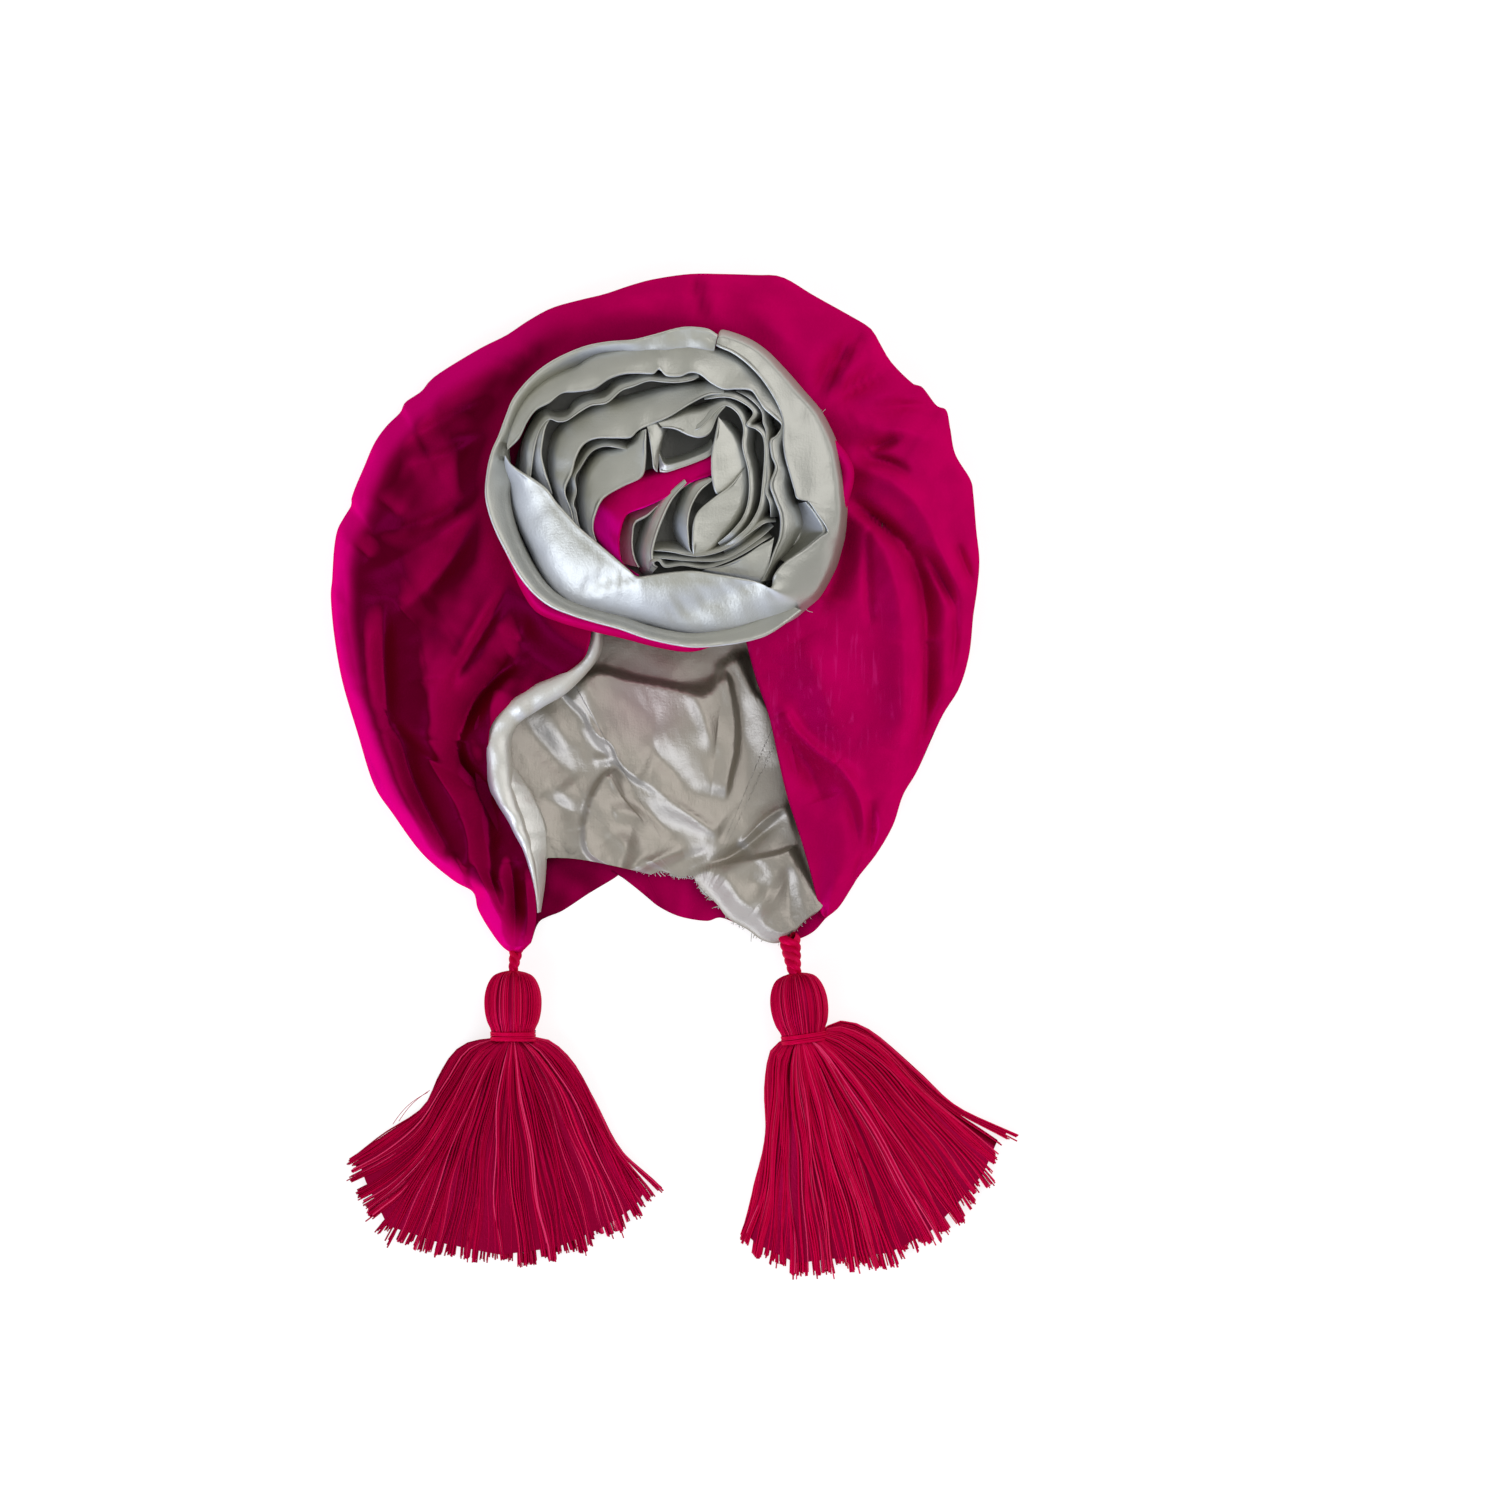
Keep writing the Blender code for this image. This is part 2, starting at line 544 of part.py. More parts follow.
def turn_angles(rows, step):
    """The ends of a turn and the whole steps between them, so that neighbours are cut alike."""
    start, end = rows[0][0], rows[-1][0]
    inner = [angle for angle in range(step * (int(start) // step + 1), int(end), step)]
    return [start] + inner + [end]


def polar(angle, share):
    """A point of the rosette: degrees clockwise from the crown, and a share of its radius."""
    turn = math.radians(angle)
    return SEAT_CENTRE + Vector((math.sin(turn), math.cos(turn))) * share * ROSETTE_RADIUS


def band_turn(name, rows, undercut=0.0, closed=False):
    """A turn of the rosette's band along a polar table."""
    angles = turn_angles(rows, BAND_STEP)
    if closed:
        angles = angles[:-1]
    sections = []
    for angle in angles:
        outer = polar(angle, table_value(rows, angle, 1))
        inner = polar(angle, table_value(rows, angle, 2))
        sections.append(fold_section(outer, inner, table_value(rows, angle, 3), undercut))
    loft(name, sections, "grey_satin", closed)


def rosette_tail():
    """The crescent of hat cloth in the heart of the rosette."""
    sections = []
    for outer_x, outer_y, inner_x, inner_y, top in TAIL:
        outer = SEAT_CENTRE + Vector((outer_x, outer_y)) * ROSETTE_RADIUS
        inner = SEAT_CENTRE + Vector((inner_x, inner_y)) * ROSETTE_RADIUS
        sections.append(fold_section(outer, inner, top))
    loft("rosette_tail", sections, "magenta_crepe")


def rosette_wrap():
    """Hat cloth wound round the foot of the outer turn, which leans out past it in two places."""
    sections = []
    for angle in range(0, 360, BAND_STEP):
        outer = table_value(OUTER_TURN, angle, 1) * ROSETTE_RADIUS
        inner = table_value(OUTER_TURN, angle, 2) * ROSETTE_RADIUS
        base = outer - min(BAND_UNDERCUT, max(0.0, outer - inner - BAND_FOOT)) + 2 * GAP
        reach = table_value(WRAP_REACH, angle) * ROSETTE_RADIUS
        top = max(base, outer - 2 * BAND_CLOTH + reach) if reach > 0 else base
        foot = SEAT_HEIGHT + GAP
        rise = ROSETTE_HEIGHT * table_value(OUTER_TURN, angle, 3) * WRAP_TOP
        middle = (base + top) / 2
        radii = (base, middle, top, top + BAND_CLOTH, middle + BAND_CLOTH, base + BAND_CLOTH)
        heights = (foot, foot + rise / 2, foot + rise, foot + rise, foot + rise / 2, foot)
        section = []
        for radius, height in zip(radii, heights):
            place = polar(angle, radius / ROSETTE_RADIUS)
            section.append((place.x, place.y, height))
        sections.append(section)
    loft("rosette_wrap", sections, "magenta_crepe", closed=True)


def fan_end(fan, share):
    """Angle and length of a tassel's locks at a share of the way across its fan."""
    place = share * (len(fan) - 1)
    index = min(int(place), len(fan) - 2)
    part = place - index
    low, high = fan[index], fan[index + 1]
    angle = math.radians(low[0] + (high[0] - low[0]) * part)
    length = (low[1] + (high[1] - low[1]) * part) * TASSEL_SKIRT_LENGTH
    return angle, length


def lock_wave(share):
    """1 on the back of a lock and 0 in the groove between two."""
    return abs(math.sin(math.pi * TASSEL_LOCKS * share)) ** 0.7


def skirt_section(neck, fan, tilt, along, fullness, spread):
    """A ring round the skirt: grooved between its locks above, and flat where it lies."""
    half = TASSEL_SIDES // 2
    depth = TASSEL_TIP_DEPTH + (TASSEL_SKIRT_DEPTH - TASSEL_TIP_DEPTH) * fullness
    side = Vector((math.cos(tilt), -math.sin(tilt)))
    neck_radius = TASSEL_HEAD_RADIUS * NECK_SHARE
    points = []
    for index in range(TASSEL_SIDES):
        above = index <= half
        share = (index if above else TASSEL_SIDES - index) / half
        angle, length = fan_end(fan, share)
        start = neck + side * neck_radius * (2 * share - 1) * (1 - along)
        heading = tilt + (angle - tilt) * min(1.0, 0.45 + 0.55 * spread)
        reach = length * along * (1 - 0.06 * (1 - lock_wave(share)) * along)
        splay = Vector((math.sin(heading), -math.cos(heading)))
        place = start + splay * reach
        edge = math.sin(math.pi * min(max(share, 0.02), 0.98)) ** 0.45
        groove = 1 - LOCK_GROOVE * (1 - lock_wave(share))
        low = 0.30 * depth * (1 - edge)
        height = GAP + (low if not above else low + (depth - low) * edge * groove)
        points.append((place.x, place.y, height))
    return points


def tassel(name, neck, fan, tilt):
    """A tassel lying on its side: a round head, a bound neck and a fan of locks."""
    axis = Vector((-math.sin(tilt), math.cos(tilt)))
    side = Vector((math.cos(tilt), math.sin(tilt)))
    sections = []
    for along, radius in HEAD_PROFILE:
        middle = neck + axis * along * TASSEL_HEAD_LENGTH
        section = []
        for index in range(TASSEL_SIDES):
            turn = 2 * math.pi * index / TASSEL_SIDES
            place = middle - side * radius * TASSEL_HEAD_RADIUS * math.cos(turn)
            height = GAP + TASSEL_HEAD_RADIUS * (1 + radius * math.sin(turn))
            section.append((place.x, place.y, height))
        sections.append(section)
    for along, fullness, spread in SKIRT_SECTIONS:
        sections.append(skirt_section(neck, fan, -tilt, along, fullness, spread))
    loft(name, sections, "crimson_thread")


def tassel_binding(name, neck, tilt):
    """The thread wound round a tassel's neck."""
    bore = TASSEL_HEAD_RADIUS * NECK_SHARE + GAP
    axis = Vector((-math.sin(tilt), math.cos(tilt), 0))
    side = Vector((math.cos(tilt), math.sin(tilt), 0))
    middle = Vector((neck.x, neck.y, GAP + TASSEL_HEAD_RADIUS))
    profile = (
        (bore, -BINDING_WIDTH / 2), (bore + BINDING_DEPTH, -BINDING_WIDTH / 3),
        (bore + BINDING_DEPTH, BINDING_WIDTH / 3), (bore, BINDING_WIDTH / 2),
    )
    sections = []
    for index in range(BINDING_SIDES):
        turn = 2 * math.pi * index / BINDING_SIDES
        outward = side * math.cos(turn) + Vector((0, 0, math.sin(turn)))
        sections.append([middle + outward * radius + axis * along for radius, along in profile])
    loft(name, sections, "crimson_thread", closed=True)


def tassel_loop(name, start, neck, tilt):
    """The short cord that hangs a tassel on a corner of the bag."""
    axis = Vector((-math.sin(tilt), math.cos(tilt)))
    end = neck + axis * (TASSEL_HEAD_LENGTH + 2 * GAP)
    bend = end + axis * CORD_DIAMETER
    low = CLOTH + GAP + CORD_DIAMETER / 2
    high = GAP + TASSEL_HEAD_RADIUS
    curve = bpy.data.curves.new(name, "CURVE")
    curve.dimensions = "3D"
    curve.bevel_depth = CORD_DIAMETER / 2
    curve.bevel_resolution = 2
    curve.use_fill_caps = True
    steps = 6
    spline = curve.splines.new("POLY")
    spline.points.add(steps + 1)
    for index in range(steps + 1):
        share = index / steps
        place = start.lerp(bend, share)
        spline.points[index].co = (place.x, place.y, low + (high - low) * smooth_step((share - 0.3) / 0.7), 1)
    spline.points[steps + 1].co = (end.x, end.y, high, 1)
    guide = bpy.data.objects.new(name + "_route", curve)
    bpy.data.collections[COLLECTION].objects.link(guide)
    evaluated = guide.evaluated_get(bpy.context.evaluated_depsgraph_get())
    mesh = bpy.data.meshes.new_from_object(evaluated)
    bpy.data.objects.remove(guide)
    shape = bmesh.new()
    shape.from_mesh(mesh)
    bmesh.ops.remove_doubles(shape, verts=shape.verts, dist=1e-6)
    bmesh.ops.recalc_face_normals(shape, faces=shape.faces)
    shape.to_mesh(mesh)
    shape.free()
    mesh.name = name
    mesh.materials.clear()
    make_object(name, mesh, "crimson_thread")


def main():
    for piece in list(bpy.data.objects):
        bpy.data.objects.remove(piece)
    hat = bpy.data.collections.new(COLLECTION)
    bpy.context.scene.collection.children.link(hat)
    crown_shell()
    crown_lining()
    edge_facing()
    rosette_wrap()
    band_turn("rosette_outer_turn", OUTER_TURN, BAND_UNDERCUT, closed=True)
    band_turn("rosette_coil", COIL)
    band_turn("rosette_inner_turn", INNER_TURN)
    band_turn("rosette_petal", PETAL)
    band_turn("rosette_leaf", LEAF)
    band_turn("rosette_curl", CURL)
    rosette_tail()
    left_neck, right_neck = plan(*LEFT_NECK), plan(*RIGHT_NECK)
    tassel("left_tassel", left_neck, LEFT_FAN, 0.0)
    tassel("right_tassel", right_neck, RIGHT_FAN, RIGHT_HEAD_TILT)
    tassel_binding("left_tassel_binding", left_neck, 0.0)
    tassel_binding("right_tassel_binding", right_neck, RIGHT_HEAD_TILT)
    tassel_loop("left_tassel_loop", plan(-0.42, -0.965), left_neck, 0.0)
    tassel_loop("right_tassel_loop", plan(0.405, -0.94), right_neck, RIGHT_HEAD_TILT)


main()
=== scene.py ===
"""Looks of a turban hat: crepe bag, crumpled satin lining, coiled satin rosette and two thread tassels.

Plan tables were measured in the photograph's pixels, and placed() turns them into millimetres from
the hat's origin, +X to the wearer's left and +Y to the crown. The rosette's tables were measured in an
enlarged cutting, and become millimetres from the rosette's own middle, with heights as shares of its height.
"""

import math

import bmesh
import bpy
import numpy as np
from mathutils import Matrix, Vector


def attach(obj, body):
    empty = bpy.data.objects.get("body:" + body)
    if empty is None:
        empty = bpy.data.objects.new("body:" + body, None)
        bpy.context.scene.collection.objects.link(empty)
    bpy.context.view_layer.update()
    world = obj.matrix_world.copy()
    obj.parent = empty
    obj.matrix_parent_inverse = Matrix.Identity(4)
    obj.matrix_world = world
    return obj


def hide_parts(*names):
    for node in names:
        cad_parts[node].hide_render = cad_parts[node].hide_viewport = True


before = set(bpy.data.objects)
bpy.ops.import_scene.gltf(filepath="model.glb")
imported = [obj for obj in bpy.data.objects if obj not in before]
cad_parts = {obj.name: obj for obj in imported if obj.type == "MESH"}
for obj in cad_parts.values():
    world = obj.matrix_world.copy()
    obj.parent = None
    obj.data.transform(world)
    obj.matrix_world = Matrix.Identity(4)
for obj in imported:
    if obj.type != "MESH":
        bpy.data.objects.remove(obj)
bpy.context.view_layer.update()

bl_info = {
    "name": "Turban Hat",
    "version": (1, 0, 0),
    "blender": (4, 5, 0),
    "location": "View3D > Sidebar > Turban Hat",
    "description": "Builds a crepe turban hat with a satin rosette, a satin lining and two thread tassels",
    "category": "Add Mesh",
}

MM = 0.001

# A pixel of the photograph in mm, and the pixel over the hat's origin
PIXEL = 0.4
MIDDLE = (655.5, 609.0)

# The same for the enlarged cutting, about the rosette's middle
FINE_PIXEL = 0.09695
FINE_MIDDLE = (755.0, 792.0)

# The bag's outline from the left corner over the crown to the right corner: x, y
OUTLINE = (
    (531, 943), (520, 953), (512, 953), (501, 945), (488, 927), (478, 909), (473, 892), (453, 880),
    (422, 853), (394, 815), (374, 784), (358, 733), (343, 682), (335, 637), (331.5, 598), (332.8, 580),
    (334.7, 550), (338, 531), (344, 519), (352, 506), (352, 500), (356, 488), (365, 467), (375, 444),
    (387, 427), (401, 413), (406, 403), (422, 392), (431, 381), (446, 370), (481, 349), (507, 336),
    (528, 322), (552, 309), (580, 301), (605, 295), (632, 286), (655, 280), (690, 275), (722, 275),
    (755, 276), (782, 278), (813, 296), (847, 315), (870, 329), (879, 343), (891, 363), (912, 384),
    (922, 388), (936, 406), (946, 411), (950, 430), (955, 455), (970, 480), (973, 496), (976, 531),
    (979, 560), (977, 588), (973, 616), (969, 654), (959, 688), (941, 718), (918, 769), (903, 795),
    (893, 825), (877, 853), (859, 876), (852, 887), (839, 907), (826, 918),
)

# The edge of the face opening, the same way round: x, y
FACE_EDGE = (
    (531, 943), (536, 915), (532, 874), (519, 840), (504, 810), (493, 787), (490, 759), (489, 738),
    (493, 723), (509, 705), (537, 686), (562, 675), (583, 660), (590, 644), (593, 627), (604, 612),
    (630, 603), (668, 600), (705, 604), (733, 618), (745, 638), (750, 655), (757, 680), (770, 718),
    (780, 764), (788, 797), (798, 828), (808, 861), (816, 892), (821, 912), (826, 918),
)

# The nape edge of the bag's back, from the left corner to the right: x, y
NAPE_EDGE = (
    (531, 943), (540, 921), (562, 911), (588, 894), (613, 879), (628, 869), (640, 876), (647, 893),
    (655, 904), (678, 916), (706, 921), (722, 918), (750, 930), (775, 941), (795, 940), (813, 932),
    (826, 918),
)

# The raw hem of the lining: x, y
LINING_HEM = (
    (541, 828), (545, 826), (556, 832), (568, 836), (582, 846), (590, 850), (600, 857), (612, 862),
    (631, 869), (650, 874), (662, 871), (680, 877), (692, 876), (702, 890), (716, 903), (728, 918),
    (748, 930), (762, 940), (778, 943), (792, 934), (806, 920), (818, 912),
)

# Share of the way round the bag, share of the way along the nape edge
BACK_FAN = (
    (0.00, 0.00), (0.05, 0.22), (0.10, 0.40), (0.20, 0.47), (0.80, 0.60), (0.90, 0.75), (0.95, 0.87),
    (1.00, 1.00),
)

# Height of the puffed front: share of the way round, share of the puff's height
PUFF = (
    (0.00, 0.27), (0.05, 0.38), (0.10, 0.50), (0.15, 0.62), (0.30, 0.88), (0.50, 1.00), (0.70, 0.95),
    (0.85, 0.70), (0.95, 0.40), (1.00, 0.22),
)

# Height of the face edge: share of the way round, share of the puff's height
FACE_HEIGHT = (
    (0.00, 0.20), (0.10, 0.30), (0.25, 0.43), (0.38, 0.60), (0.46, 0.80), (0.56, 0.82), (0.65, 0.78),
    (0.75, 0.68), (0.90, 0.46), (1.00, 0.15),
)

# Folds of the crepe front, each from a start by a bend to an end: three places, height, width on each side
FRONT_FOLDS = (
    (388, 600, 380, 650, 392, 728, -5, 6, 6), (396, 724, 420, 760, 478, 786, -4, 3.5, 5),
    (516, 664, 470, 690, 459, 740, -4.5, 3, 5), (459, 740, 455, 765, 476, 786, -4, 3, 5),
    (400, 735, 412, 790, 456, 858, -4.5, 5, 5), (402, 722, 440, 770, 464, 815, 3, 5, 4),
    (464, 815, 474, 840, 466, 866, 2.5, 4, 4), (514, 583, 486, 622, 455, 680, -3, 3, 2.5),
    (505, 590, 478, 625, 462, 660, 2, 2.5, 3), (530, 590, 533, 610, 520, 640, -4.5, 6, 6),
    (345, 575, 346, 620, 360, 690, -2, 3, 4), (352, 700, 372, 780, 420, 842, -1.5, 3, 4),
    (480, 780, 482, 830, 494, 880, -4.5, 6, 6), (430, 680, 436, 710, 432, 740, 2.5, 9, 8),
    (496, 690, 486, 715, 494, 745, 2, 5, 5), (545, 622, 565, 632, 588, 640, 2, 5, 5),
    (475, 862, 488, 890, 505, 925, 2, 2.5, 2.5), (463, 868, 476, 890, 480, 905, -1.6, 2, 2),
    (486, 868, 496, 892, 502, 912, -2, 2.2, 2.2), (511, 862, 516, 900, 516, 946, -3, 3, 3),
    (525, 880, 530, 905, 527, 935, 1.6, 3, 3), (452, 852, 460, 868, 470, 880, 1.8, 2, 2),
    (412, 442, 440, 420, 492, 406, -2.8, 2.5, 4), (414, 466, 450, 456, 496, 438, -2.6, 2.5, 4),
    (486, 484, 458, 526, 370, 538, -3.4, 3.5, 4), (483, 500, 450, 540, 372, 570, 2.2, 4, 4),
    (481, 512, 462, 560, 404, 612, -4, 6, 5), (470, 440, 455, 470, 462, 500, -3, 8, 8),
    (401, 451, 425, 415, 472, 368, 2.6, 5, 5), (404, 405, 428, 388, 446, 374, -1.8, 1.6, 2.4),
    (365, 500, 385, 500, 400, 518, 2.2, 5, 5), (350, 545, 362, 550, 372, 560, 2, 3.5, 3.5),
    (521, 336, 530, 350, 543, 368, -2.2, 2.2, 2.5), (476, 355, 510, 360, 538, 374, -2, 2, 3),
    (500, 385, 520, 395, 540, 385, -3, 7, 7), (575, 308, 592, 318, 602, 334, -1.8, 2.5, 3.5),
    (600, 330, 620, 320, 650, 312, 2, 5, 4), (697, 274, 697, 300, 701, 334, -4.2, 1.8, 3.8),
    (640, 298, 660, 312, 682, 332, -2.8, 3, 3), (667, 290, 676, 305, 684, 328, -2, 2.5, 2.5),
    (706, 276, 709, 300, 712, 330, 1.6, 3, 3), (740, 300, 760, 320, 790, 345, 1.4, 7, 7),
    (866, 332, 836, 362, 811, 410, -3.6, 1.6, 4.5), (876, 343, 850, 365, 826, 404, 1.8, 3.5, 3),
    (882, 376, 852, 384, 822, 408, -2.4, 3.5, 3), (944, 410, 900, 404, 850, 412, -2, 3.5, 3),
    (896, 441, 876, 450, 856, 455, -2.2, 1.8, 2.6), (856, 463, 882, 456, 908, 476, -2, 2, 2.6),
    (905, 384, 885, 400, 850, 420, 1.8, 5, 5), (952, 452, 915, 425, 868, 432, 1.6, 5, 5),
    (847, 502, 880, 520, 905, 552, -4, 3, 2.4), (905, 552, 928, 590, 924, 640, -4.6, 6, 2),
    (924, 640, 930, 700, 914, 760, -4.6, 6.5, 1.8), (856, 472, 912, 480, 934, 536, 2.2, 5, 5),
    (934, 536, 945, 570, 970, 604, 1.8, 4, 4), (955, 544, 964, 568, 975, 592, -3, 3, 2.2),
    (927, 558, 942, 580, 954, 606, -2.6, 2.4, 2), (954, 606, 958, 630, 950, 680, -1.8, 2.4, 2.4),
    (872, 530, 898, 570, 904, 640, 2.2, 5, 7), (904, 640, 908, 700, 898, 750, 1.8, 4, 8),
    (866, 535, 867, 570, 870, 622, -1, 1.2, 2), (838, 520, 832, 560, 822, 600, -6, 7, 7),
    (784, 712, 796, 742, 834, 764, 2.4, 3, 3.5), (786, 730, 808, 758, 822, 800, -2.2, 6, 6),
    (834, 764, 862, 790, 866, 830, 2.2, 3.5, 3.5), (846, 790, 856, 815, 858, 850, -1.4, 3, 3),
    (868, 800, 874, 825, 868, 858, -2.4, 3, 3), (862, 850, 855, 872, 848, 886, -1.6, 2.5, 2.5),
    (800, 640, 822, 680, 832, 730, 1.6, 10, 10),
)

# Folds of the lining on the back, in the same columns
LINING_FOLDS = (
    (655, 738, 690, 742, 716, 745, 3, 16, 16), (588, 728, 604, 746, 618, 758, 2.2, 2.2, 2),
    (594, 760, 606, 758, 620, 761, 1.8, 2, 2.4), (520, 712, 546, 748, 574, 782, -3, 6, 7),
    (540, 796, 565, 806, 588, 820, -2.6, 5, 5), (545, 706, 560, 730, 568, 752, 2, 6, 6),
    (560, 786, 572, 800, 578, 830, 2, 5, 5), (640, 742, 668, 760, 690, 790, -1.6, 5, 4),
    (690, 690, 706, 716, 713, 748, 1.8, 4, 3), (652, 796, 684, 812, 714, 834, 2.6, 2.4, 3.4),
    (628, 800, 650, 812, 676, 838, -1.8, 4, 4), (613, 812, 632, 806, 652, 822, 2, 4, 4),
    (606, 826, 625, 842, 640, 856, 1.6, 5, 4), (636, 870, 656, 860, 682, 850, 2.8, 1.8, 2.2),
    (664, 868, 690, 858, 708, 852, -2, 2.2, 2.2), (708, 868, 740, 856, 784, 812, -4.5, 2.6, 3.4),
    (756, 826, 768, 812, 790, 800, 2, 3, 5), (745, 655, 764, 700, 778, 765, 2.6, 8, 8),
    (742, 700, 748, 750, 744, 800, -2, 7, 6), (756, 914, 768, 896, 776, 870, 2, 4, 4),
    (700, 892, 730, 896, 752, 912, 2, 8, 8), (786, 868, 790, 890, 790, 915, -1.8, 3, 3),
    (748, 880, 764, 884, 778, 892, -1.2, 5, 5), (620, 700, 650, 712, 668, 732, -1, 8, 8),
)

# Where one layer of the lining lies over another: height of the step, width of the layer's roll on the left
# of the way taken, on the right, then the places of its edge
LINING_STEPS = (
    (6.5, 0.9, 20, (
        (556, 694), (580, 680), (600, 672), (632, 680), (664, 686), (696, 693), (710, 691), (719, 680),
        (722, 668), (736, 658), (752, 653),
    )),
    (4.5, 13, 0.8, (
        (561, 690), (573, 702), (585, 714), (592, 728), (600, 737), (609, 742), (615, 750), (620, 763),
        (630, 774), (644, 784),
    )),
    (6, 13, 0.9, (
        (624, 768), (606, 776), (595, 792), (588, 812), (585, 832), (588, 850), (600, 860), (618, 868),
        (636, 872),
    )),
    (2.4, 9, 1.4, ((630, 772), (650, 786), (680, 806), (704, 824), (722, 836))),
    (3.4, 1.0, 12, ((724, 670), (730, 690), (735, 720), (735, 748), (729, 776), (725, 800))),
    (5, 0.9, 16, ((684, 878), (700, 872), (716, 866), (740, 861), (760, 858), (782, 853), (798, 846))),
    (2.8, 1.2, 10, ((738, 846), (750, 834), (762, 822), (776, 812), (792, 806))),
)

# The turned satin facing along the left face edge: outer x and y, inner x and y
FACING = (
    (537, 913, 540, 912), (533, 884, 539, 886), (526, 858, 536, 861), (517, 838, 532, 841),
    (507, 818, 527, 824), (498, 802, 521, 807), (491, 787, 515, 786), (487, 759, 513, 764),
    (487, 738, 512, 745), (491, 722, 515, 731), (508, 703, 523, 721), (536, 684, 543, 708),
    (561, 673, 569, 692), (582, 658, 594, 666), (589, 643, 603, 649), (593, 627, 604, 629),
)

# The lining of the left wing beside the facing, in the same columns
WING_LINING = (
    (539, 912, 541, 912), (537, 886, 545, 886), (532, 861, 547, 861), (526, 840, 548, 838),
    (521, 824, 546, 824), (515, 806, 539, 806), (509, 786, 528, 786), (507, 764, 513, 764),
)

# Where the rosette's cloth frays, and the ends of the threads that stray from each tassel
FRAYED_PLACES = ((814, 415), (803, 609))
STRAY_THREADS = {
    "left": ((428, 1092, 393, 1124), (430, 1090, 399, 1121), (600, 1128, 641, 1177), (603, 1131, 638, 1174)),
    "right": ((868, 1029, 915, 1071), (872, 1034, 911, 1070)),
}

# The rosette's outer ring of folded satin: outer x and y, lip x and y, height of the lip, of the outer edge
OUTER_RING = (
    (1330, 1285, 1300, 1272, 0.62, 0.66), (1260, 1340, 1215, 1312, 0.66, 0.74),
    (1180, 1390, 1150, 1345, 0.68, 0.78), (1080, 1418, 1060, 1375, 0.7, 0.8),
    (980, 1432, 970, 1392, 0.72, 0.82), (880, 1437, 880, 1400, 0.72, 0.84),
    (780, 1422, 790, 1390, 0.72, 0.84), (680, 1397, 690, 1366, 0.72, 0.84),
    (580, 1362, 592, 1332, 0.72, 0.84), (480, 1335, 492, 1306, 0.72, 0.84),
    (390, 1307, 402, 1278, 0.72, 0.84), (300, 1270, 322, 1238, 0.7, 0.84),
    (230, 1215, 262, 1182, 0.68, 0.84), (170, 1140, 210, 1105, 0.66, 0.84),
    (120, 1050, 165, 1015, 0.64, 0.84), (80, 970, 135, 925, 0.62, 0.84), (50, 890, 120, 835, 0.62, 0.84),
    (35, 810, 122, 755, 0.62, 0.84), (42, 720, 114, 690, 0.66, 0.84), (60, 640, 108, 628, 0.72, 0.84),
    (90, 570, 128, 575, 0.74, 0.84), (120, 490, 152, 518, 0.74, 0.86), (150, 420, 188, 440, 0.72, 0.87),
    (210, 345, 245, 372, 0.68, 0.88), (280, 285, 318, 318, 0.62, 0.88), (360, 240, 400, 272, 0.58, 0.88),
    (450, 205, 485, 238, 0.62, 0.88), (540, 188, 562, 224, 0.72, 0.88), (640, 180, 652, 216, 0.8, 0.88),
    (740, 155, 762, 211, 0.82, 0.88), (800, 138, 832, 206, 0.82, 0.88), (860, 128, 882, 206, 0.82, 0.88),
    (940, 135, 940, 211, 0.82, 0.87), (985, 160, 972, 216, 0.8, 0.84),
)

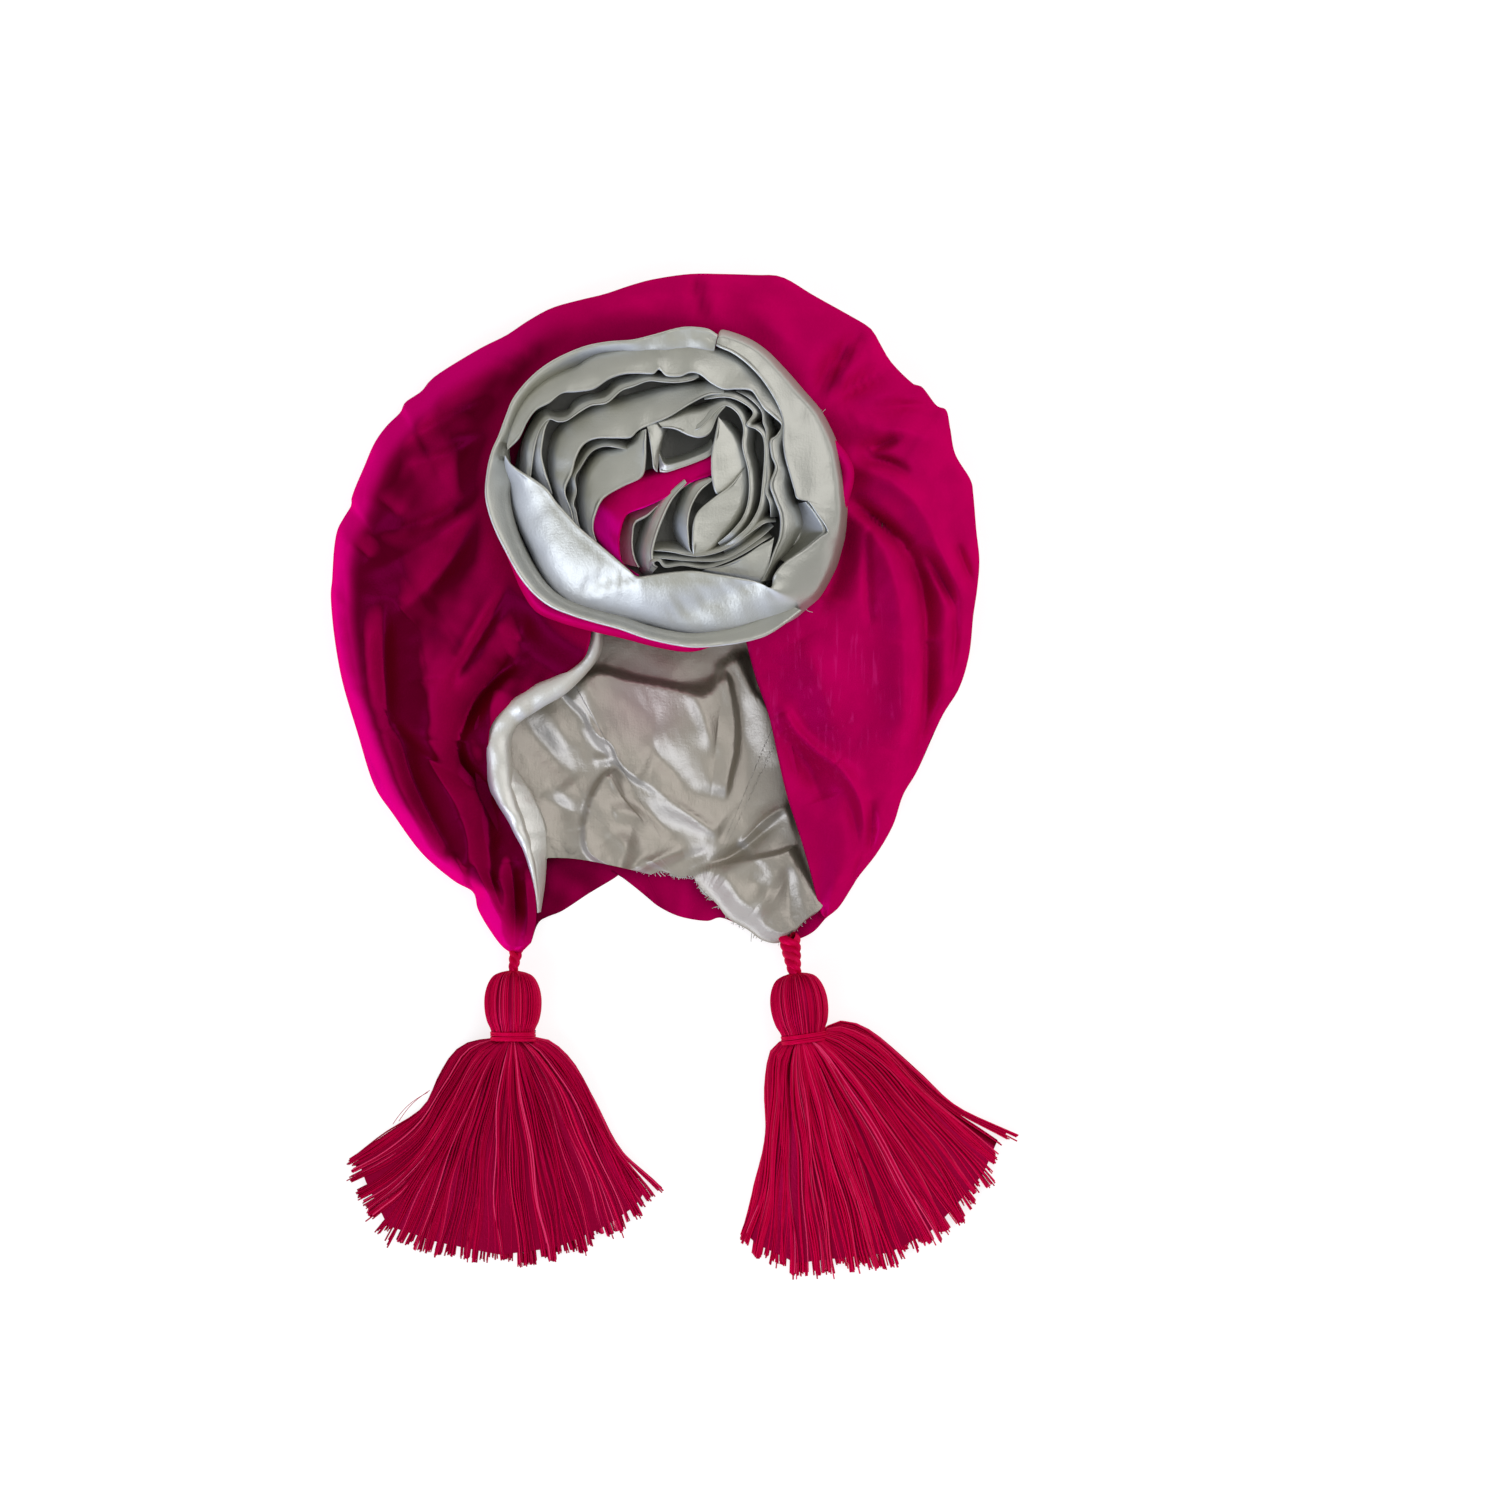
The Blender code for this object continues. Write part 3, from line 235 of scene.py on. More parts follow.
# The rosette's inner bands, in the same columns
SATIN_BANDS = (
    ("outer_band", (
        (984, 176, 978, 206, 0.86, 0.86), (1002, 168, 996, 216, 0.89, 0.87),
        (1060, 185, 1045, 238, 0.9, 0.86), (1120, 212, 1100, 278, 0.91, 0.85),
        (1180, 255, 1156, 335, 0.92, 0.84), (1240, 320, 1196, 392, 0.92, 0.83),
        (1308, 400, 1232, 458, 0.92, 0.82), (1370, 470, 1250, 522, 0.92, 0.82),
        (1412, 542, 1250, 598, 0.93, 0.82), (1446, 622, 1258, 660, 0.93, 0.81),
        (1466, 720, 1275, 722, 0.94, 0.8), (1478, 810, 1296, 795, 0.94, 0.79),
        (1481, 860, 1308, 830, 0.95, 0.78), (1481, 890, 1350, 840, 0.93, 0.77),
        (1479, 925, 1388, 892, 0.9, 0.74), (1472, 985, 1430, 958, 0.87, 0.7),
        (1462, 1020, 1400, 984, 0.88, 0.66), (1440, 1090, 1330, 1040, 0.92, 0.68),
        (1405, 1160, 1256, 1090, 0.96, 0.66), (1370, 1215, 1214, 1140, 0.98, 0.65),
        (1325, 1255, 1200, 1192, 1, 0.64), (1260, 1300, 1150, 1170, 1, 0.63),
        (1150, 1342, 1060, 1150, 1, 0.62), (1070, 1362, 960, 1134, 1, 0.62),
        (980, 1372, 880, 1124, 1, 0.62), (880, 1368, 790, 1130, 1, 0.62), (780, 1350, 705, 1142, 1, 0.62),
        (690, 1325, 655, 1146, 1, 0.62), (600, 1305, 618, 1115, 0.99, 0.62),
        (500, 1282, 560, 1065, 0.99, 0.62), (400, 1250, 490, 1005, 0.99, 0.62),
        (320, 1185, 420, 945, 0.98, 0.62), (265, 1100, 370, 890, 0.98, 0.62),
        (225, 1010, 325, 840, 0.97, 0.63), (185, 920, 290, 790, 0.97, 0.64),
        (160, 840, 240, 752, 0.96, 0.66), (145, 760, 190, 722, 0.95, 0.66),
        (130, 700, 142, 688, 0.93, 0.84), (116, 662, 118, 652, 0.9, 0.88),
    )),
    ("notch_face", (
        (1345, 842, 1300, 850, 0.45, 0.84), (1388, 892, 1306, 900, 0.45, 0.82),
        (1426, 958, 1310, 950, 0.45, 0.8), (1400, 986, 1300, 995, 0.45, 0.8),
        (1330, 1042, 1262, 1035, 0.45, 0.82), (1262, 1090, 1218, 1065, 0.5, 0.84),
    )),
    ("top_band", (
        (125, 612, 128, 632, 0.9, 0.88), (150, 528, 176, 585, 0.93, 0.84),
        (185, 452, 208, 520, 0.94, 0.82), (240, 386, 245, 470, 0.95, 0.8), (310, 340, 300, 440, 0.95, 0.8),
        (400, 300, 350, 402, 0.95, 0.8), (440, 275, 410, 396, 0.95, 0.8), (480, 255, 480, 384, 0.95, 0.8),
        (520, 243, 540, 345, 0.95, 0.8), (560, 235, 600, 324, 0.95, 0.8), (620, 225, 660, 321, 0.95, 0.8),
        (690, 218, 722, 322, 0.95, 0.8), (740, 215, 746, 304, 0.96, 0.8), (770, 213, 776, 331, 0.94, 0.8),
        (820, 210, 830, 333, 0.94, 0.8), (870, 208, 872, 318, 0.95, 0.8), (915, 211, 912, 325, 0.95, 0.8),
        (960, 222, 960, 362, 0.94, 0.8), (1010, 237, 1010, 386, 0.94, 0.8),
        (1060, 262, 1060, 385, 0.94, 0.8), (1110, 297, 1120, 391, 0.95, 0.8),
        (1150, 335, 1150, 430, 0.95, 0.81), (1180, 375, 1174, 466, 0.95, 0.82),
        (1215, 420, 1214, 500, 0.95, 0.84), (1256, 500, 1244, 532, 0.93, 0.88),
        (1262, 560, 1222, 572, 0.93, 0.86), (1240, 610, 1196, 592, 0.93, 0.86),
        (1248, 668, 1202, 655, 0.93, 0.86), (1262, 720, 1218, 702, 0.93, 0.86),
        (1262, 775, 1196, 770, 0.93, 0.84), (1275, 830, 1214, 832, 0.93, 0.82),
        (1300, 880, 1237, 900, 0.93, 0.8), (1308, 950, 1235, 980, 0.93, 0.8),
        (1262, 1035, 1210, 1050, 0.93, 0.82), (1215, 1100, 1186, 1120, 0.92, 0.86),
        (1178, 1165, 1160, 1168, 0.88, 0.86),
    )),
    ("second_band", (
        (205, 745, 222, 748, 0.84, 0.82), (205, 680, 232, 672, 0.88, 0.84),
        (215, 600, 245, 600, 0.9, 0.85), (245, 535, 264, 545, 0.91, 0.86),
        (285, 490, 296, 508, 0.92, 0.87), (330, 498, 334, 518, 0.92, 0.88),
        (372, 490, 372, 512, 0.92, 0.88), (412, 452, 424, 478, 0.92, 0.88),
        (462, 428, 470, 452, 0.92, 0.88), (525, 415, 534, 441, 0.92, 0.88),
        (580, 368, 592, 392, 0.92, 0.88), (636, 350, 642, 374, 0.92, 0.88),
        (698, 332, 702, 352, 0.92, 0.88), (760, 336, 760, 356, 0.92, 0.88),
        (820, 338, 822, 358, 0.91, 0.88), (876, 330, 882, 348, 0.9, 0.87),
        (905, 322, 908, 334, 0.86, 0.84),
    )),
    ("left_leaf", (
        (296, 500, 300, 506, 0.9, 0.89), (262, 520, 284, 540, 0.92, 0.86),
        (244, 565, 274, 590, 0.93, 0.84), (236, 640, 268, 650, 0.92, 0.83),
        (243, 710, 282, 715, 0.9, 0.82), (262, 760, 300, 770, 0.87, 0.8), (290, 795, 312, 812, 0.82, 0.78),
    )),
    ("broad_band", (
        (360, 905, 405, 960, 0.84, 0.8), (335, 830, 390, 880, 0.88, 0.8), (318, 760, 364, 800, 0.91, 0.8),
        (316, 690, 392, 725, 0.92, 0.79), (322, 620, 408, 665, 0.93, 0.78),
        (348, 560, 438, 612, 0.93, 0.77), (405, 515, 488, 586, 0.93, 0.76),
        (490, 472, 565, 584, 0.93, 0.76), (600, 440, 628, 582, 0.93, 0.76),
        (680, 415, 662, 552, 0.93, 0.76), (760, 392, 712, 528, 0.92, 0.76),
        (830, 378, 782, 500, 0.92, 0.76), (900, 370, 868, 448, 0.92, 0.78),
        (960, 366, 940, 412, 0.91, 0.82), (1012, 388, 1010, 402, 0.9, 0.87),
    )),
    ("petal_fold", (
        (676, 552, 694, 545, 0.88, 0.86), (648, 600, 694, 610, 0.9, 0.82),
        (590, 628, 692, 680, 0.89, 0.76), (510, 650, 676, 742, 0.87, 0.72),
        (458, 715, 600, 780, 0.86, 0.7), (438, 800, 522, 828, 0.86, 0.72),
        (440, 880, 488, 895, 0.86, 0.76), (452, 950, 478, 955, 0.85, 0.79),
        (474, 1006, 492, 1008, 0.82, 0.8),
    )),
    ("tip_fold", (
        (694, 530, 700, 548, 0.88, 0.87), (742, 520, 708, 600, 0.9, 0.86),
        (762, 560, 716, 660, 0.89, 0.84), (748, 620, 722, 705, 0.87, 0.83),
        (742, 690, 738, 722, 0.83, 0.81),
    )),
    ("pocket_lip", (
        (742, 520, 760, 540, 0.9, 0.9), (790, 505, 812, 548, 0.91, 0.88), (860, 480, 868, 574, 0.91, 0.86),
        (915, 470, 915, 582, 0.91, 0.86), (955, 455, 955, 560, 0.91, 0.87),
        (985, 440, 984, 495, 0.92, 0.89), (1016, 430, 1016, 456, 0.93, 0.91),
    )),
    ("pocket_base", (
        (744, 640, 748, 720, 0.72, 0.78), (770, 690, 775, 722, 0.74, 0.78),
        (830, 680, 830, 705, 0.76, 0.78), (890, 660, 895, 682, 0.77, 0.79),
        (945, 635, 952, 655, 0.76, 0.78), (965, 610, 968, 625, 0.74, 0.76),
    )),
    ("leaf_one", (
        (990, 500, 988, 496, 0.92, 0.92), (1030, 545, 976, 560, 0.94, 0.9),
        (1070, 600, 960, 640, 0.94, 0.86), (1095, 670, 958, 715, 0.93, 0.84),
        (1098, 720, 964, 770, 0.92, 0.83), (1060, 770, 975, 806, 0.9, 0.84),
        (1010, 800, 985, 812, 0.87, 0.86),
    )),
    ("leaf_two", (
        (1100, 700, 1080, 722, 0.88, 0.84), (1102, 770, 1030, 780, 0.92, 0.84),
        (1095, 830, 962, 830, 0.93, 0.83), (1075, 890, 905, 880, 0.93, 0.82),
        (1040, 945, 884, 930, 0.93, 0.81), (990, 1000, 880, 985, 0.92, 0.82),
        (940, 1045, 880, 1030, 0.91, 0.84), (895, 1066, 884, 1058, 0.88, 0.86),
    )),
    ("leaf_edge", (
        (955, 745, 968, 752, 0.86, 0.85), (890, 775, 915, 800, 0.89, 0.84),
        (850, 850, 880, 860, 0.91, 0.82), (832, 915, 866, 925, 0.92, 0.8), (836, 975, 868, 985, 0.91, 0.8),
        (858, 1030, 872, 1035, 0.89, 0.83), (882, 1062, 884, 1052, 0.86, 0.85),
    )),
    ("curl_fold", (
        (850, 752, 858, 765, 0.8, 0.79), (770, 820, 800, 835, 0.82, 0.77),
        (722, 900, 760, 920, 0.83, 0.75), (690, 980, 735, 990, 0.83, 0.73),
        (678, 1050, 722, 1050, 0.83, 0.74), (694, 1110, 728, 1095, 0.82, 0.77),
        (722, 1128, 742, 1105, 0.8, 0.78),
    )),
    ("curl_wall", (
        (880, 756, 878, 762, 0.76, 0.75), (760, 826, 752, 850, 0.74, 0.62), (685, 862, 700, 900, 0.7, 0.5),
        (622, 888, 650, 930, 0.68, 0.44), (600, 925, 640, 980, 0.66, 0.42),
        (586, 985, 640, 1030, 0.66, 0.42), (590, 1050, 650, 1075, 0.66, 0.44),
        (604, 1095, 668, 1110, 0.66, 0.48),
    )),
    ("low_face", (
        (930, 1120, 950, 1112, 0.84, 0.84), (985, 1130, 1010, 1100, 0.86, 0.84),
        (1060, 1145, 1090, 1064, 0.88, 0.83), (1120, 1160, 1160, 1018, 0.89, 0.83),
        (1160, 1168, 1196, 1000, 0.89, 0.84), (1185, 1140, 1215, 985, 0.88, 0.85),
    )),
)

# Thin lips of cloth seen edge on: name, height, width, then the places of the lip
THIN_RIMS = (
    ("under_rim", 0.86, 14, (
        (438, 985), (418, 930), (408, 880), (398, 850), (410, 800), (404, 745), (425, 705), (468, 642),
        (520, 618), (580, 624), (635, 634),
    )),
    ("crossing_rim", 0.93, 20, (
        (850, 560), (905, 548), (945, 515), (975, 478), (1015, 452), (1062, 480), (1088, 540), (1084, 620),
        (1108, 720), (1110, 820), (1088, 900), (1040, 962), (985, 1010),
    )),
    ("right_rim", 0.94, 20, (
        (930, 425), (1020, 418), (1085, 440), (1128, 480), (1100, 528), (1140, 548), (1168, 580),
        (1174, 650), (1166, 760), (1152, 860), (1112, 935), (1060, 985), (1000, 1030),
    )),
    ("outer_rim", 0.93, 14, (
        (1060, 392), (1110, 420), (1160, 470), (1168, 520), (1180, 560), (1180, 640), (1186, 740),
        (1178, 800), (1196, 850), (1200, 905),
    )),
    ("low_rim_a", 0.9, 16, (
        (722, 1042), (790, 1048), (890, 1066), (975, 1054), (1050, 1020), (1130, 962), (1180, 930),
        (1222, 924),
    )),
    ("low_rim_b", 0.89, 14, (
        (700, 1066), (790, 1078), (890, 1086), (990, 1084), (1070, 1052), (1160, 990), (1214, 942),
    )),
    ("low_rim_c", 0.88, 16, (
        (704, 1124), (724, 1092), (744, 1086), (770, 1112), (840, 1104), (930, 1116), (1005, 1096),
        (1090, 1056), (1170, 1006), (1206, 985),
    )),
)

# The crescent of hat cloth in the rosette's heart, in the same columns
CRESCENT = (
    (965, 655, 960, 735, 0.74, 0.7), (900, 680, 880, 762, 0.76, 0.7), (800, 712, 770, 826, 0.78, 0.68),
    (690, 742, 690, 864, 0.79, 0.67), (600, 776, 622, 890, 0.79, 0.65), (518, 830, 600, 925, 0.79, 0.62),
    (484, 900, 586, 985, 0.78, 0.6), (486, 965, 586, 1040, 0.78, 0.6), (530, 1035, 598, 1090, 0.77, 0.62),
    (600, 1100, 640, 1125, 0.74, 0.64), (655, 1150, 665, 1140, 0.7, 0.66),
)

# Outline of the hat cloth wound round the rosette's foot: x, y
WRAP_EDGE = (
    (1010, 172), (1110, 208), (1190, 262), (1260, 330), (1330, 405), (1385, 470), (1420, 520), (1462, 580),
    (1512, 640), (1540, 700), (1540, 760), (1522, 830), (1500, 900), (1474, 970), (1440, 1060),
    (1390, 1150), (1310, 1260), (1200, 1350), (1080, 1398), (980, 1425), (900, 1450), (830, 1452),
    (720, 1432), (600, 1400), (450, 1365), (330, 1330), (240, 1288), (182, 1205), (142, 1112), (100, 1010),
    (60, 920), (36, 830), (44, 720), (66, 640), (96, 560), (130, 480), (165, 415), (225, 345), (300, 285),
    (400, 240), (520, 205), (640, 192), (740, 170), (860, 142), (950, 150),
)

# Creases across the rosette's broad outer band, in the columns of the folds above
ROSETTE_FOLDS = (
    (770, 1308, 900, 1225, 1162, 1168, -3, 1.4, 6), (430, 1196, 540, 1170, 655, 1146, -2.2, 3, 1.6),
    (600, 1150, 560, 1180, 470, 1215, 1.4, 3, 3), (700, 1180, 860, 1160, 1040, 1160, 1, 5, 5),
    (1200, 1200, 1202, 1165, 1216, 1135, -1.6, 1.6, 2.4), (1310, 260, 1290, 420, 1330, 560, -0.8, 4, 4),
    (1300, 640, 1340, 760, 1330, 860, -1, 5, 5), (1390, 600, 1400, 760, 1380, 880, 0.8, 6, 6),
    (200, 900, 300, 1050, 420, 1150, 1.2, 5, 5),
)

# Run of a skirt's threads: share of the way across, then six places from the neck to the tip
LEFT_GUIDES = (
    (0, 503, 1037, 462, 1044, 438, 1075, 420, 1106, 385, 1131, 343, 1160),
    (0.12, 505, 1037, 478, 1053, 452, 1100, 425, 1145, 390, 1175, 353, 1192),
    (0.25, 507, 1037, 485, 1060, 457, 1110, 432, 1155, 405, 1198, 379, 1240),
    (0.4, 509, 1037, 492, 1065, 473, 1115, 459, 1162, 446, 1211, 435, 1258),
    (0.55, 512, 1037, 505, 1070, 500, 1120, 498, 1170, 499, 1220, 500, 1271),
    (0.7, 515, 1037, 520, 1065, 530, 1115, 541, 1165, 551, 1215, 560, 1263),
    (0.84, 518, 1037, 535, 1055, 557, 1095, 577, 1145, 595, 1195, 611, 1241),
    (0.93, 520, 1037, 545, 1048, 574, 1083, 599, 1130, 622, 1175, 644, 1219),
    (1, 523, 1037, 548, 1040, 573, 1062, 592, 1100, 622, 1150, 663, 1190),
)
RIGHT_GUIDES = (
    (0, 790, 1037, 770, 1049, 765, 1090, 763, 1145, 750, 1198, 731, 1238),
    (0.1, 793, 1037, 778, 1058, 775, 1108, 770, 1160, 762, 1210, 752, 1259),
    (0.24, 797, 1037, 789, 1063, 790, 1115, 792, 1170, 795, 1225, 797, 1280),
    (0.38, 800, 1037, 803, 1062, 812, 1112, 823, 1165, 834, 1220, 845, 1274),
    (0.53, 804, 1037, 815, 1060, 833, 1105, 853, 1155, 875, 1212, 895, 1269),
    (0.67, 808, 1037, 825, 1053, 850, 1090, 880, 1140, 910, 1192, 940, 1246),
    (0.79, 811, 1036, 832, 1045, 868, 1078, 902, 1120, 937, 1168, 968, 1216),
    (0.9, 814, 1035, 838, 1033, 880, 1060, 920, 1102, 958, 1143, 995, 1186),
    (1, 817, 1034, 840, 1021, 872, 1032, 914, 1071, 960, 1108, 1018, 1136),
)

# Outline of a tassel's head: share of its length from the neck, share of its radius
HEAD_PROFILE = (
    (1.02, 0.20), (0.99, 0.48), (0.93, 0.72), (0.80, 0.90), (0.62, 1.00), (0.42, 1.00), (0.24, 0.92),
    (0.12, 0.80), (0.00, 0.74), (-0.08, 0.80),
)

# Share of a skirt's length from the neck, height of its upper side in mm, height of its lower side in mm
SKIRT_HEIGHTS = (
    (0.00, 18.5, 5.0), (0.08, 19.8, 2.0), (0.20, 20.0, 0.6), (0.40, 16.5, 0.5), (0.60, 12.5, 0.5),
    (0.80, 8.5, 0.5), (1.00, 5.5, 0.5),
)

# Middle of the rosette in mm, radius of the flat seat under it and width of the seat's border
ROSETTE_MIDDLE = np.array((2.8, 46.6))
SEAT_RADIUS, SEAT_BORDER = 68.0, 16.0

# Share of the way across the front where its roll down to the rim begins, and the rest of the way
SHOULDER, ROLL = 0.45, 0.55

# Height of the rim's widest line as a share of the front's height, and the rest of the height
RIM_LEVEL, ROLL_LEVEL = 0.33, 0.67

# Strength of the front's folds, and what is added to it towards the nape and on the right wing
FOLD_STRENGTH, LOW_STRENGTH, RIGHT_STRENGTH = 1.5, 0.8, 1.7

# Points round the bag and the lining, and rows of each stretch of the bag
BAG_COLUMNS, FRONT_ROWS, RIM_ROWS, BACK_ROWS = 560, 104, 15, 22
LINING_COLUMNS, LINING_ROWS = 500, 150

# How the crepe turns in at the face edge: distance from the edge in mm, height over it in mm
FACE_TURN = ((-6.0, -2.2), (-2.6, -2.0), (-0.7, -1.6), (0.15, -0.9), (0.30, -0.4))

# Shares of the way round the bag that the lining, the facing and the wing's lining take up
LINING_WAYS, FACING_WAYS, WING_WAYS = (0.028, 0.972), (0.03, 0.42), (0.03, 0.20)

# How far the lining hangs below the front, and its least height over the back, in mm
LINING_SAG, LINING_FLOOR = 6.0, 2.4

# Section of the turned facing: share of the way across, drop below its plump height in mm
FACING_SECTION = (
    (-0.06, 3.0), (0.0, 1.8), (0.05, 1.0), (0.12, 0.5), (0.25, 0.1), (0.4, 0), (0.55, 0), (0.7, 0.2),
    (0.82, 0.5), (0.92, 1.1), (0.98, 1.8), (1.0, 2.8), (0.9, 4.5),
)

# Section of a band: mm outside its outer edge and share of that edge's height, then share of the width and
# share of the rise from the outer edge to the lip
BAND_FOOT = ((3.4, 0.20), (3.0, 0.42), (2.2, 0.62), (1.3, 0.80), (0.5, 0.93))
BAND_FACE = (
    (0.04, 0.0), (0.14, 0.17), (0.28, 0.38), (0.42, 0.57), (0.56, 0.74), (0.70, 0.87), (0.83, 0.96),
)

# Fewest columns of a band, width of one in mm, and the least width of a band in mm
LEAST_COLUMNS, COLUMN_WIDTH, LEAST_WIDTH = 12, 0.9, 0.4

# Section of the wrap: mm out from its outline, share of the rosette's height
WRAP_SECTION = (
    (-6.0, 0.20), (-5.5, 0.42), (-4.2, 0.50), (-2.4, 0.51), (-0.8, 0.44), (0.0, 0.34), (-0.2, 0.25),
    (-1.2, 0.14), (-2.6, 0.05), (-4.0, -0.05),
)

# Section of the pad: radius and height over the seat, in mm
PAD_SECTION = ((4, 7.0), (20, 7.0), (40, 7.0), (52, 8.0), (56, 9.0), (59, 8.0), (59, 0.2))

# Layers, locks and clumped tips of a skirt, and the power that shapes its arch across
SKIRT_LAYERS, LOCKS, CLUMPS, ARCH_POWER = 4, 11, 46, 0.42

# Each tassel: side, guides, tone, neck in mm, tilt, top of its loop in mm, width of the loop in mm, seed
TASSELS = (
    ("left", LEFT_GUIDES, 0.46, (-56.8, -170.6), 0.0, (-55.0, -131.5), 5.0, 201),
    ("right", RIGHT_GUIDES, 0.92, (59.3, -171.3), math.radians(8), (53.5, -131.0), 7.0, 202),
)

# Gap in mm between a piece and what it lies on, least height of cloth and of thread in mm, and the least
# side of a sheet laid flat in metres
GAP, LEAST_HEIGHT, THREAD_FLOOR, LEAST_SIDE = 0.2, 0.15, 0.5, 0.01

# CAD nodes that the rosette's bands stand for
BAND_NODES = {
    "outer_band": ("rosette_coil",), "broad_band": ("rosette_inner_turn",), "petal_fold": ("rosette_petal",),
    "leaf_one": ("rosette_leaf",), "curl_fold": ("rosette_curl",),
}

# Directions in plan, in radians: the bag gets painted shade where it leans away from the first and the satin
# where it leans towards it, the heart and the satin get a painted highlight where they lean towards the
# second and the third; and turns of the weaves
PAINTED_SHADE_TURN, HEART_HIGHLIGHT_TURN, WINDOW_TURN = 0.45, -2.3, -2.2
CREPE_WEAVE_TURN, SATIN_WEAVE_TURN = 0.27, 0.6

# Colours that appear only in places: a painted highlight on the bag's rim, the slubs' own colour, a painted
# highlight on the heart, a painted cool highlight and a painted red reflection of the crepe on the satin, a
# painted glint on threads, the threads' gloss; and the middle of the crepe's slubs in metres
RIM_HIGHLIGHT_COLOUR, SLUB_COLOUR, HEART_HIGHLIGHT_COLOUR = (0.66, 0.0, 0.17, 1), (0.85, 0.04, 0.34, 1), (1.0, 0.0, 0.42, 1)
WINDOW_HIGHLIGHT_COLOUR, BOUNCE_REFLECTION_COLOUR = (0.84, 0.90, 1.08), (0.25, 0.09, 0.13, 1)
THREAD_GLINT_COLOUR, THREAD_GLOSS_COLOUR = (0.78, 0.05, 0.16, 1), (1.0, 0.01, 0.17, 1)
SLUB_PLACE = (0.069, -0.030, 0.03)

# The point that the lights look at, in metres, and each light: name, direction from there, distance and size
# in metres, the level that holds its power, colour
LIT_MIDDLE = (0.01, -0.05, 0.02)
LIGHTS = (
    ("ceiling_light", (0.55, 0.30, 0.78), 2.0, 2.4, "ceiling_power", (1.0, 0.985, 0.96)),
    ("window_light", (-0.56, -0.62, 0.52), 1.8, 1.5, "window_power", (0.84, 0.91, 1.0)),
)

# Camera's place and the width that it sees on the floor in metres, and its sensor's width in mm
CAMERA_PLACE, VIEW_WIDTH, SENSOR_WIDTH = (0.0402, -0.0588, 5.0), 0.605, 36.0

# The direction straight up
UP = np.array((0.0, 0.0, 1.0))


class HatSizes(bpy.types.PropertyGroup):
    puff_height: bpy.props.FloatProperty(
        name="Puff height", description="Height of the bag's puffed front", default=0.040, unit="LENGTH")
    rim_roll: bpy.props.FloatProperty(
        name="Rim roll", description="Radius of the bag's rim", default=0.012, unit="LENGTH")
    seat_height: bpy.props.FloatProperty(
        name="Seat height", description="Height of the bag under the rosette", default=0.034, unit="LENGTH")
    rosette_height: bpy.props.FloatProperty(
        name="Rosette height", description="Height of the rosette above its seat",
        default=0.0295, unit="LENGTH")
    lining_gap: bpy.props.FloatProperty(
        name="Lining gap", description="Distance from the crepe to the lining",
        default=0.0020, unit="LENGTH")
    head_radius: bpy.props.FloatProperty(
        name="Head radius", description="Radius of a tassel's head", default=0.0112, unit="LENGTH")
    head_length: bpy.props.FloatProperty(
        name="Head length", description="Length of a tassel's head", default=0.0255, unit="LENGTH")
    thread_width: bpy.props.FloatProperty(
        name="Thread width", description="Diameter of one tassel thread", default=0.0006, unit="LENGTH")
    skirt_threads: bpy.props.IntProperty(
        name="Skirt threads", description="Threads shown in each tassel's skirt", default=860, min=40)


class HatColours(bpy.types.PropertyGroup):
    crepe: bpy.props.FloatVectorProperty(
        name="Crepe", description="Colour of the hat cloth", subtype="COLOR", size=4,
        default=(0.52, 0.0, 0.088, 1))
    # This colour is the painted shade of the bag's crepe, laid on its left and where it leans away.
    crepe_deep: bpy.props.FloatVectorProperty(
        name="Deep crepe", description="Colour of the hat cloth where its nap leans away",
        subtype="COLOR", size=4, default=(0.075, 0.0, 0.003, 1))
    crepe_sheen: bpy.props.FloatVectorProperty(
        name="Crepe sheen", description="Colour of the hat cloth's gloss", subtype="COLOR", size=4,
        default=(1.0, 0.0, 0.36, 1))
    satin: bpy.props.FloatVectorProperty(
        name="Satin", description="Colour of the satin", subtype="COLOR", size=4,
        default=(0.31, 0.303, 0.235, 1))
    satin_sheen: bpy.props.FloatVectorProperty(
        name="Satin sheen", description="Colour of the satin's gloss", subtype="COLOR", size=4,
        default=(0.88, 0.88, 0.84, 1))
    thread: bpy.props.FloatVectorProperty(
        name="Thread", description="Colour of the tassels' thread", subtype="COLOR", size=4,
        default=(0.50, 0.0, 0.034, 1))


class LightLevels(bpy.types.PropertyGroup):
    ceiling_power: bpy.props.FloatProperty(
        name="Ceiling power", description="Power of the light from above the crown's right", default=17.0)
    window_power: bpy.props.FloatProperty(
        name="Window power", description="Power of the cool light from the lower left", default=17.0)
    sky_level: bpy.props.FloatProperty(
        name="Sky level", description="Strength of the even light", default=0.46)
    floor_glow: bpy.props.FloatProperty(
        name="Floor glow", description="Own light of the paper", default=0.78)


def placed(rows, pairs, pixel=PIXEL, middle=MIDDLE):
    """A table whose first pairs of columns turn from pixels into mm."""
    table = np.array(rows, float)
    for column in range(0, 2 * pairs, 2):
        table[:, column] = (table[:, column] - middle[0]) * pixel
        table[:, column + 1] = (middle[1] - table[:, column + 1]) * pixel
    return table


def placed_fine(rows, pairs):
    return placed(rows, pairs, FINE_PIXEL, FINE_MIDDLE)


def smooth_curve(rows, steps=10):
    """A smooth curve through a table's rows, as an array with the table's columns."""
    knots = np.array(rows, float)
    knots = np.vstack([2 * knots[0] - knots[1], knots, 2 * knots[-1] - knots[-2]])
    share = np.linspace(0, 1, steps, endpoint=False)[:, None]
    parts = []
    for index in range(1, len(knots) - 2):
        before, start, end, after = knots[index - 1:index + 3]
        parts.append(0.5 * (
            2 * start + (end - before) * share
            + (2 * before - 5 * start + 4 * end - after) * share ** 2
            + (3 * start - before - 3 * end + after) * share ** 3))
    parts.append(knots[-2][None])
    return np.vstack(parts)


